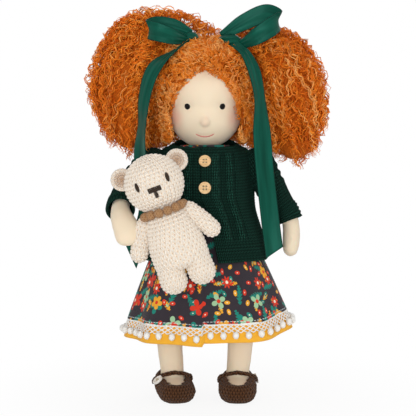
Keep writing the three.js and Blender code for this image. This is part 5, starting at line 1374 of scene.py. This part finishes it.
clear &= ~((np.abs(lines[..., 0]) < 32) & (lines[..., 1] < -10) & (lines[..., 2] < 282)).any(1)
lines = lines[clear]
tones = combed.uniform(0.35, 1.0, len(lines))
for part in range(3):
    cap_curls = strands(f"hair_cap_curls_{part + 1}", wound(lines[part::3], 1.5, 7.0), tones[part::3], 0.42, 2.6,
                        CAP_CRIMP)
    dressed(cap_curls, copper, "curly_hair", "head")

# Small light curls along the edge of the cap, lying down onto the skin.
lines = []
steps = np.linspace(0, 1, EDGE_STEPS)
for index in range(EDGE_LOCKS):
    side = 1 if index % 2 else -1
    run = combed.uniform(0, 0.99) + combed.uniform(0.02, 0.22) * steps
    rows = np.clip(run, 0, 1.02)
    spot = np.stack([np.interp(1.02 - rows, np.linspace(0, 1, 61), arch_line[:, k]) for k in (0, 1)], 1)
    spot[:, 1] -= np.clip(run - 1.0, 0, 1) * 60
    beyond = combed.uniform(-1.4, 4.5) + combed.uniform(1.0, 9) * steps**1.4
    away = spot - (0, ARCH_Z)
    away /= np.linalg.norm(away, axis=1, keepdims=True)
    spot = spot + away * beyond[:, None]
    spot[:, 1] = np.maximum(spot[:, 1], 257)
    x, z = spot.T
    inner = []
    for px, pz in spot:
        met, hit, _, _ = head.ray_cast(Vector(placed((px, IN_FRONT, pz))), Vector((0, 1, 0)))
        inner.append(hit[1] * 1000 - MIDDLE[1] - 1.2 if met else -14.0)
    half_x, half_y, _ = cap_at(z)
    over = np.maximum(z - CROWN_MIDDLE[2], 0) / CROWN_HALF[2]
    front = 2.5 - half_y * np.sqrt(np.clip(1 - (x / half_x) ** 2 - over**2, 0.02, 1))
    rest = np.clip(beyond / 6.0, 0, 1) ** 0.8
    lines.append(np.stack([side * x, np.array(inner) * (1 - rest) + front * rest, z], 1))
lines = np.array(lines)
edge_curls = strands("hair_edge_curls", wound(lines, 1.1, 5.5), combed.uniform(0.45, 0.95, len(lines)), 0.3, 1.2,
                     EDGE_CRIMP, 3)
dressed(edge_curls, copper, "curly_hair", "head")


def painted_shade_fill_under(node, voxel, settle, sink):
    """A darker copper fill under the curls, as painted shade in the depth of the hair: a solid of hair softened and
    drawn in under its curls.
    """
    base = softened(f"{node}_wefts", node, voxel, settle)
    pushed(base, np.full(len(base.data.vertices), -sink))
    base.data.shade_smooth()
    dressed(base, painted_shade_fill, "curly_hair", "head", node)


painted_shade_fill_under("hair_cap", 0.0026, 10, 0.0018)


def even_rows(rings, spacing):
    """The same form with its rows at even distances."""
    length = np.concatenate([[0], np.cumsum(np.linalg.norm(np.diff(rings, axis=0), axis=2).mean(1))])
    at = np.linspace(0, length[-1], max(3, round(length[-1] / spacing)))
    flat = rings.reshape(len(rings), -1)
    return np.stack([np.interp(at, length, flat[:, k]) for k in range(flat.shape[1])], 1).reshape(len(at), -1, 3)


def over_shoulders(lines, hem, uneven=9):
    """Lines that end above a hem of [distance from the middle, height], each a little higher or lower."""
    hem = np.array(hem, float)
    floor = np.interp(np.abs(lines[..., 0]), hem[:, 0], hem[:, 1]) + combed.uniform(-1, uneven, (len(lines), 1))
    kept = np.cumprod(lines[..., 2] > floor, axis=1).sum(1)
    steps = lines.shape[1]
    at = np.linspace(0, 1, steps)[None, :] * np.maximum(kept - 1, 4)[:, None]
    i = np.minimum(at.astype(int), steps - 2)
    rows = np.arange(len(lines))[:, None]
    return lines[rows, i] + (lines[rows, i + 1] - lines[rows, i]) * (at - i)[..., None]


for side, stations in BUNCHES.items():
    form = even_rows(stuffed_rings(stations, 50, 48, (0.8, 0.95), ends=14), 2.0)
    rows, columns, _ = form.shape
    middle = form.mean(1)
    parts, span_mm = (1, (12, 22)) if side == "crown" else (3, (26, 40))
    first_row = combed.uniform(0.02, 0.66, CROWN_LOCKS if side == "crown" else BUNCH_LOCKS * parts) ** 1.15 * rows
    span = combed.uniform(*span_mm, len(first_row))
    share = np.linspace(0, 1, HAIR_STEPS)[None, :]
    at_row = np.clip(first_row[:, None] + span[:, None] * share, 0, rows - 1.001)
    at_column = combed.uniform(0, columns, len(first_row))[:, None] + combed.normal(0, 3.5, (len(first_row), 1)) * share
    i, j = at_row.astype(int), np.floor(at_column).astype(int)
    u, v = (at_row - i)[..., None], (at_column - j)[..., None]
    skin_line = [form[i, (j + k) % columns] * (1 - u) + form[i + 1, (j + k) % columns] * u for k in (0, 1)]
    skin_line = skin_line[0] * (1 - v) + skin_line[1] * v
    core_line = middle[i] * (1 - u) + middle[i + 1] * u
    depth = combed.uniform(0.76, 0.985, (len(first_row), 1, 1))
    lines = core_line + (skin_line - core_line) * depth
    moves = np.diff(lines, axis=1)
    falls = 0.85 * np.clip((at_row[:, 1:, None] / rows - 0.66) / 0.2, 0, 1)
    length = 2.0 * span[:, None, None] / (HAIR_STEPS - 1)
    moves = moves * (1 - falls) + falls * length * np.array([0, 0, -1.0])
    lines = np.concatenate([lines[:, :1], lines[:, :1] + np.cumsum(moves, axis=1)], 1)
    lines = over_shoulders(bent(lines, 2.4), HEMS[side])
    # Strands deeper in the bunch are coloured darker, as painted shade, and their tone also differs at random.
    tones = np.clip(0.15 + 0.55 * (depth[:, 0, 0] - 0.76) / 0.225 + combed.normal(0, 0.15, len(lines)), 0.02, 0.95)
    for part in range(parts):
        chosen = slice(part * BUNCH_LOCKS, (part + 1) * BUNCH_LOCKS)
        curls = strands(f"hair_bunch_{side}_curls_{part + 1}", wound(lines[chosen], 2.1, 9.5), tones[chosen], 0.47,
                        2.4, LONG_CRIMP)
        dressed(curls, copper, "curly_hair", "head")
    if side != "crown":
        painted_shade_fill_under(f"hair_bunch_{side}", 0.0028, 16, 0.0050)

# Loose locks that fill the hollows behind the cheeks, coloured darker than the cap as painted shade in the hollows.
for side, sign in (("left", 1), ("right", -1)):
    roots, runs = (np.stack([sign * combed.uniform(*wide, LOOSE_LOCKS), combed.uniform(*deep, LOOSE_LOCKS),
                             way * combed.uniform(*high, LOOSE_LOCKS)], 1)
                   for wide, deep, high, way in (((34, 55), (2, 29), (288, 320), 1), ((-5, 5), (-6, 4), (50, 74), -1)))
    share = np.linspace(0, 1, HAIR_STEPS)[None, :, None]
    lines = over_shoulders(bent(roots[:, None] + runs[:, None] * share, 2.4), HEMS["locks"], 3)
    locks = strands(f"hair_lock_{side}_curls", wound(lines, 2.0, 9.0), combed.uniform(0.1, 0.65, LOOSE_LOCKS), 0.45,
                    2.4, LONG_CRIMP)
    dressed(locks, copper, "curly_hair", "head")

# ------------------------------------------------------------------ Ribbons
# Two lengths of green satin, 18 mm wide, tied round the roots of the bunches: each makes one big loop and a knot, and
# its end hangs down over the bunch to below the waist, where it is cut on a slant.
UP, RIBBON_WIDTH, RIBBON_EDGE, SATIN_THICK = (0, 0, 1), 0.018, 0.0007, 0.0006
BOWS = {  # places and half sizes; a loop's stations end with half its width, a tail's with the way it lies too
    "left": {
        "knot": ((24, -18, 355), (11, 5.5, 5.5)),
        "loop": [[34, -22, 350, 4], [48, -35, 356, 8], [64, -36, 366, 9], [71, -28, 373, 9], [60, -22, 380, 9],
                 [38, -19, 372, 8], [16, -16, 359, 4]],
        "tail": [[28, -22, 352, 5, 1, 0.6, 0.6], [38, -31, 343, 6, 1, 0.5, 0.2], [46, -38, 327, 7, 1, 0.5, 0],
                 [52, -43, 297, 8, 0.8, 0.9, 0], [55, -43, 261, 9, 1, 0.3, 0], [58, -35, 225, 9, 1, 0.2, 0],
                 [63, -30, 184, 9, 1, 0.1, 0], [68, -29, 148, 9, 1, 0.1, 0]],
        "slant": -4.5,
    },
    "right": {
        "knot": ((-14, -18, 357), (8, 5.5, 5.5)),
        "loop": [[-18, -22, 355, 4], [-32, -36, 357, 8], [-46, -37, 361, 9], [-54, -30, 364, 9], [-46, -25, 368, 9],
                 [-30, -22, 367, 8], [-13, -18, 361, 4]],
        "tail": [[-16, -22, 354, 4, 1, -0.6, 0.8], [-29, -31, 344, 6, 1, -0.5, 0.4], [-48, -38, 327, 8, 1, -0.4, 0],
                 [-58, -43, 299, 8, 0.9, -0.8, 0], [-60, -45, 271, 9, 0.5, -1, 0], [-61, -43, 241, 9, 0.8, -0.8, 0],
                 [-56, -36, 214, 9, 1, -0.2, 0], [-56, -32, 184, 9, 1, 0, 0], [-72, -30, 144, 9, 1, 0.1, 0]],
        "slant": 9,
    },
}

satin, tree, shader = finish("green_satin", Roughness=0.32, Specular_IOR_Level=0.16)
shader.inputs["Specular Tint"].default_value = (0.3, 1.0, 0.8, 1)
along = put(tree, "UVMap", uv_map="cloth").outputs[0]
axes = put(tree, "SeparateXYZ", {0: along}).outputs
ribs = calc(tree, "SINE", calc(tree, "MULTIPLY", axes[1], 2 * math.pi / 0.0007))
# Painted sheen: slow light and dark bands along the ribbon's length, between the two greens below, stand in for the
# satin's sheen.
lengthwise = put(tree, "Mapping", {"Vector": along, "Scale": (1, 0.09, 1)}).outputs[0]
painted_sheen = ranged(tree, matted(tree, lengthwise, 0.0004, 0.008)[1], 0.15, 0.85)
shade = blended(tree, painted_sheen, paint("#04261c"), paint("#145b4a"))
rim = calc(tree, "ABSOLUTE", calc(tree, "SUBTRACT", axes[0], RIBBON_WIDTH / 2))
rim = calc(tree, "GREATER_THAN", rim, RIBBON_WIDTH / 2 - RIBBON_EDGE)
coloured(tree, shader, blended(tree, rim, shade, paint("#0a3329")))
under = raised(tree, shader, ribs, 0.00004, 0.35)
raised(tree, shader, rim, 0.0002, 0.5, under)


def ribbon(name, stations, widths, rows, columns, ripple, slant=0):
    """A ribbon along a line: `widths` are the ways that its width points, `ripple` how far it waves, row by row."""
    stations = np.asarray(stations, float)
    shares = np.linspace(0, 1, rows)
    line = smooth_line(stations[:, :3], shares)
    half = smooth_line(np.pad(stations[:, 3:4], ((0, 0), (0, 2))), shares)[:, :1]
    lie = smooth_line(np.asarray(widths, float), shares)
    ahead = smooth_line(stations[:, :3], np.minimum(shares + 1e-3, 1))
    ahead -= smooth_line(stations[:, :3], np.maximum(shares - 1e-3, 0))
    ahead /= np.linalg.norm(ahead, axis=1, keepdims=True)
    across = lie - (lie * ahead).sum(1, keepdims=True) * ahead
    across /= np.linalg.norm(across, axis=1, keepdims=True)
    face = np.cross(ahead, across)
    share = np.linspace(-1, 1, columns)
    net = line[:, None] + across[:, None] * (share[:, None] * half[:, None])
    pleat = np.clip((9 - half) / 5, 0, 1)
    wave = pleat * 0.7 * np.cos(share * math.pi * 3) + ripple(shares[:, None], share[None, :])
    net = net + face[:, None] * wave[:, :, None]
    if slant:
        reach = np.clip((shares - 0.9) / 0.1, 0, 1)[:, None]
        net = net + ahead[:, None] * (share[None, :] * slant * reach)[:, :, None]
    length = float(np.linalg.norm(np.diff(line, axis=0), axis=1).sum())
    piece = net_piece(name, net, False, (RIBBON_WIDTH, length / 1000))
    thick(piece, SATIN_THICK, 0.0)
    return piece, length / 1000


for side, bow in BOWS.items():
    (knot_place, knot_half), seed = bow["knot"], 1.0 if side == "left" else 4.0
    loop, loop_length = ribbon(f"ribbon_loop_{side}_satin", bow["loop"], [UP] * len(bow["loop"]), 90, 15,
                               lambda t, s: 0.5 * np.sin(9 * t + 2 * s + seed) * (1 - s * s) + 0.5 * s * np.sin(7 * t))
    dressed(loop, satin, "satin_ribbon", "head", f"ribbon_bow_{side}")
    stations, widths = np.split(np.array(bow["tail"]), [4], axis=1)
    tail, tail_length = ribbon(f"ribbon_tail_{side}_satin", stations, widths, 130, 15,
                               lambda t, s: np.sin(17 * t + seed) * t + 0.5 * np.sin(11 * t + 2.5 * s + seed),
                               bow["slant"])
    dressed(tail, satin, "satin_ribbon", None, f"ribbon_tail_{side}")
    x = 50 if side == "left" else -50
    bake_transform(tail)

    fall, turn = np.linspace(0.04, math.pi - 0.04, 40)[:, None], np.arange(48)[None, :] * 2 * math.pi / 48
    folds = 1 + 0.10 * np.sin(5 * turn + 1.2 * np.cos(fall) + seed) + 0.05 * np.sin(9 * turn + seed)
    knot = np.stack([knot_half[0] * np.cos(fall) + 0 * turn, knot_half[1] * np.sin(fall) * np.cos(turn) * folds,
                     knot_half[2] * np.sin(fall) * np.sin(turn) * folds], -1)
    knot = net_piece(f"ribbon_knot_{side}_satin", knot + knot_place, True, (RIBBON_WIDTH, 0.03), True, True)
    dressed(knot, satin, "satin_ribbon", "head")

# ------------------------------------------------------------------ Bear
# Crocheted in cream yarn in rounds of V stitches, and stuffed: a ball head with two dished ears, a pear body, and
# legs and arms that are sewn on. Its eyes and nose are embroidered, and a ring of tan bobbles goes round its neck.
BEAR_PLACE, BEAR_TILT = np.array([-47.0, -72.0, 217.0]), math.radians(-20)
BEAR_STITCH, BEAR_DEPTH = (4.3, 3.9), 0.95
BEAR_HEAD_HALF, BEAR_EAR, BEAR_EYE = (27.5, 24, 27), (27, 2, 13.5), (14.2, 2)
BEAR_NOSE = ((-5.7, -4.6, 5.7, -4.6, 2.2, 2.2), (0, -6.5, 0, -12, 1.7, 1.7))
BOBBLES, BOBBLE_ROWS, BOBBLE_COLUMNS, COLLAR_RADIUS, COLLAR_Z = 14, 20, 30, 19, -26.5


def in_bear(points):
    """Points in the bear's own frame, as points in the doll's."""
    x, y, z = np.moveaxis(np.asarray(points, float), -1, 0)
    c, s = math.cos(BEAR_TILT), math.sin(BEAR_TILT)
    return np.stack([c * x + s * z, y, c * z - s * x], -1) + BEAR_PLACE


def crocheted(name, rings, stitch=BEAR_STITCH, depth=BEAR_DEPTH, fine=5, flip=False):
    """A crocheted form from rings in the bear's frame: rounds of stitches, as many in each as its girth takes."""
    length = np.concatenate([[0], np.cumsum(np.linalg.norm(np.diff(rings, axis=0), axis=2).mean(1))])
    rows = max(2, round(length[-1] / stitch[1])) * fine + 1
    at = np.linspace(0, length[-1], rows)
    columns = rings.shape[1]
    net = np.stack([[np.interp(at, length, rings[:, k, a]) for a in range(3)] for k in range(columns)], 0)
    net = np.moveaxis(net, (0, 1, 2), (1, 2, 0))
    piece = net_piece(name, in_bear(net), True, None, True, flip)
    girth = np.linalg.norm(np.roll(net, -1, axis=1) - net, axis=2).sum(1)
    level = np.arange(rows) / fine
    middles = girth[np.minimum((np.floor(level) * fine + fine // 2).astype(int), rows - 1)]
    count = np.maximum(np.round(middles / stitch[0]), 3)
    turn = np.arange(columns)[None, :] / columns
    height = stitch_height(turn * count[:, None], level[:, None] + 0 * turn) * depth
    pushed(piece, np.append(height.ravel(), [0, 0]) / 1000)
    r, c = np.meshgrid(np.arange(rows - 1), np.arange(columns), indexing="ij")
    corners = np.stack([np.stack([(c + dc) / columns * count[r], (r + dr) / fine - 0.002 * dr], -1)
                        for dc, dr in ((0, 0), (1, 0), (1, 1), (0, 1))], 2)
    corners = corners[:, :, ::-1] if flip else corners
    found = np.zeros((len(piece.data.loops), 2), np.float32)
    found[: corners.size // 2] = corners.reshape(-1, 2)
    piece.data.uv_layers.new(name="stitches").data.foreach_set("uv", found.ravel())
    return piece


def egg(middle, half, columns, rows=60, power=1.0):
    """Rings of an egg form from its top down, in the bear's frame."""
    fall = np.linspace(0.03, math.pi - 0.03, rows)[:, None]
    turn = np.arange(columns)[None, :] * 2 * math.pi / columns
    out = np.sin(fall) ** power
    return np.stack([middle[0] + half[0] * out * np.cos(turn), middle[1] + half[1] * out * np.sin(turn),
                     middle[2] + half[2] * np.cos(fall) + 0 * turn], -1)


# Stitch tops with painted light, stitch feet and holes with painted shade.
cream_yarn = crochet_yarn("cream_crochet_yarn", "#fff8ef", "#f0dfca", "#a4713f", 0.0010)
bear_head = crocheted("bear_head_crochet", egg((0, 0, 0), BEAR_HEAD_HALF, 210), flip=True)
dressed(bear_head, cream_yarn, "cream_crochet", "bear", "bear_head")
trunk_rings = stuffed_rings([[0, 0, -25, 14, 12], [0, 0, -44, 22, 17], [0, 0, -62, 26, 18], [0, 0, -76, 26, 17]],
                            40, 190, (0.3, 0.45), ends=16)
bear_body = crocheted("bear_body_crochet", trunk_rings)
dressed(bear_body, cream_yarn, "cream_crochet", "bear", "bear_body")
for side, sign in (("left", 1), ("right", -1)):
    y = 0 if side == "left" else 4
    arm_rings = stuffed_rings([[sign * 22.5, 1 + y, -34, 7.5, 7.5], [sign * 30, 1 + y, -46, 8, 8],
                               [sign * 36, y, -57, 8, 8]], 26, 60, (1, 1), ends=14)
    body = "bear_arm_left" if side == "left" else "bear"
    piece = crocheted(f"bear_arm_{side}_crochet", arm_rings)
    dressed(piece, cream_yarn, "cream_crochet", body, f"bear_arm_{side}")
    leg_rings = stuffed_rings([[sign * 13.3, 0, -74, 12, 11.5], [sign * 13.9, -2, -91.5, 12.5, 12]], 26, 92,
                              (0.5, 0.98), ends=18)
    piece = crocheted(f"bear_leg_{side}_crochet", leg_rings)
    dressed(piece, cream_yarn, "cream_crochet", "bear", f"bear_leg_{side}")
    fall, turn = np.linspace(0.05, math.pi - 0.05, 50)[:, None], np.arange(96)[None, :] * 2 * math.pi / 96
    reach = 10.5 * np.sin(fall) + 0 * turn
    ear = np.stack([reach * np.cos(turn), -5 * np.cos(fall) + 0 * turn, reach * np.sin(turn)], -1)
    ear[..., 1] += np.where(ear[..., 1] < 0, 4.6 * np.exp(-((reach / 6.4) ** 4)), 0)
    x, y, z = sign * BEAR_EAR[0], *BEAR_EAR[1:]
    ear += (x, y, z)
    piece = crocheted(f"bear_ear_{side}_crochet", ear, (3.4, 3.1), 0.5, flip=True)
    from_dish = np.linalg.norm(own_places(piece) - in_bear((x, y - 5, z)), axis=1)
    # The dish of the ear is noted for the painted shade inside it.
    note_down(piece, "inside", 0.75 * np.exp(-((from_dish / 7.0) ** 4)))
    dressed(piece, cream_yarn, "cream_crochet", "bear", f"bear_ear_{side}")

bear_thread = thread("bear_thread", "#3a2a1c", 0.2)


def bear_front(x, z, out=0.4):
    """A place on the front of the bear's head, a little out from it, in the bear's frame."""
    wide, deep, high = BEAR_HEAD_HALF
    spot = np.array([x, -deep * math.sqrt(max(0, 1 - (x / wide) ** 2 - (z / high) ** 2)), z])
    way = spot / np.square(BEAR_HEAD_HALF)
    return spot + (out + 0.3) * way / np.linalg.norm(way)


def sewn_bars(name, bars, radius):
    """Satin stitches: each bar is a run of short threads side by side."""
    lines = []
    for x0, z0, x1, z1, half_from, half_to in bars:
        run = math.hypot(x1 - x0, z1 - z0)
        across = np.array([-(z1 - z0), x1 - x0]) / run
        for share in np.linspace(0, 1, max(2, round(run / (radius * 1.7)))):
            spot = np.array([x0 + (x1 - x0) * share, z0 + (z1 - z0) * share])
            half = half_from + (half_to - half_from) * share
            ends = [spot + across * half * w for w in np.linspace(-1, 1, 9)]
            lines.append([bear_front(*e, out=0.55 * math.sin(math.pi * (i + 0.6) / 9.2)) for i, e in enumerate(ends)])
    points, faces = tubes(lines, radius, 6)
    return new_piece(name, in_bear(points), faces)


for side, sign in (("left", 1), ("right", -1)):
    rows = [(up, 1.6 * math.sqrt(max(0.12, 1 - (up / 4.1) ** 2))) for up in np.linspace(-3.8, 3.8, 14)]
    points, faces = tubes([[bear_front(sign * BEAR_EYE[0] + w * half, BEAR_EYE[1] + up, 0.75 * (1 - 0.5 * w * w))
                            for w in np.linspace(-1, 1, 9)] for up, half in rows], 0.42, 6)
    dressed(new_piece(f"bear_eye_{side}_sewn", in_bear(points), faces), bear_thread, "bear_thread", "bear",
            f"bear_eye_{side}")
nose = sewn_bars("bear_nose_sewn", BEAR_NOSE, 0.45)
dressed(nose, bear_thread, "bear_thread", "bear", "bear_nose")

# Stitch tops with painted light, stitch feet and holes with painted shade.
bobble_yarn = crochet_yarn("bobble_crochet_yarn", "#c9a077", "#9c6f45", "#6b4526", 0.0006)
around = np.arange(BOBBLE_COLUMNS)
onward, last = (around + 1) % BOBBLE_COLUMNS, (BOBBLE_ROWS - 1) * BOBBLE_COLUMNS
top = np.full(BOBBLE_COLUMNS, BOBBLE_ROWS * BOBBLE_COLUMNS)
bobble_faces = (net_faces(BOBBLE_ROWS, BOBBLE_COLUMNS, True, True), np.stack([top, around, onward], 1),
                np.stack([top + 1, last + onward, last + around], 1))
points, lists = [], []
for i in range(BOBBLES):
    turn = 2 * math.pi * i / BOBBLES
    bobble = egg((0, 0, 0), (4.3, 4.3, 4.0), BOBBLE_COLUMNS, BOBBLE_ROWS)
    swell = 1 + 0.09 * np.abs(np.sin(4 * np.arctan2(bobble[..., 1], bobble[..., 0]) + 0.35 * bobble[..., 2] + i))
    bobble = bobble * swell[..., None] + (COLLAR_RADIUS * math.cos(turn), COLLAR_RADIUS * math.sin(turn),
                                          COLLAR_Z + 0.4 * math.sin(5.0 * i))
    points.append(np.vstack([bobble.reshape(-1, 3), bobble[0].mean(0), bobble[-1].mean(0)]))
    lists += [faces + i * len(points[0]) for faces in bobble_faces]
collar = new_piece("bear_collar_bobbles", in_bear(np.vstack(points)), *lists)
x, y, z = (own_places(collar) - in_bear((0, 0, COLLAR_Z))).T
map_stitches(collar, np.arctan2(y, x) * COLLAR_RADIUS / 2.1, z / 1.9 + 40, 1000)
dressed(collar, bobble_yarn, "bobble_yarn", "bear", "bear_collar")

low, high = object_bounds()
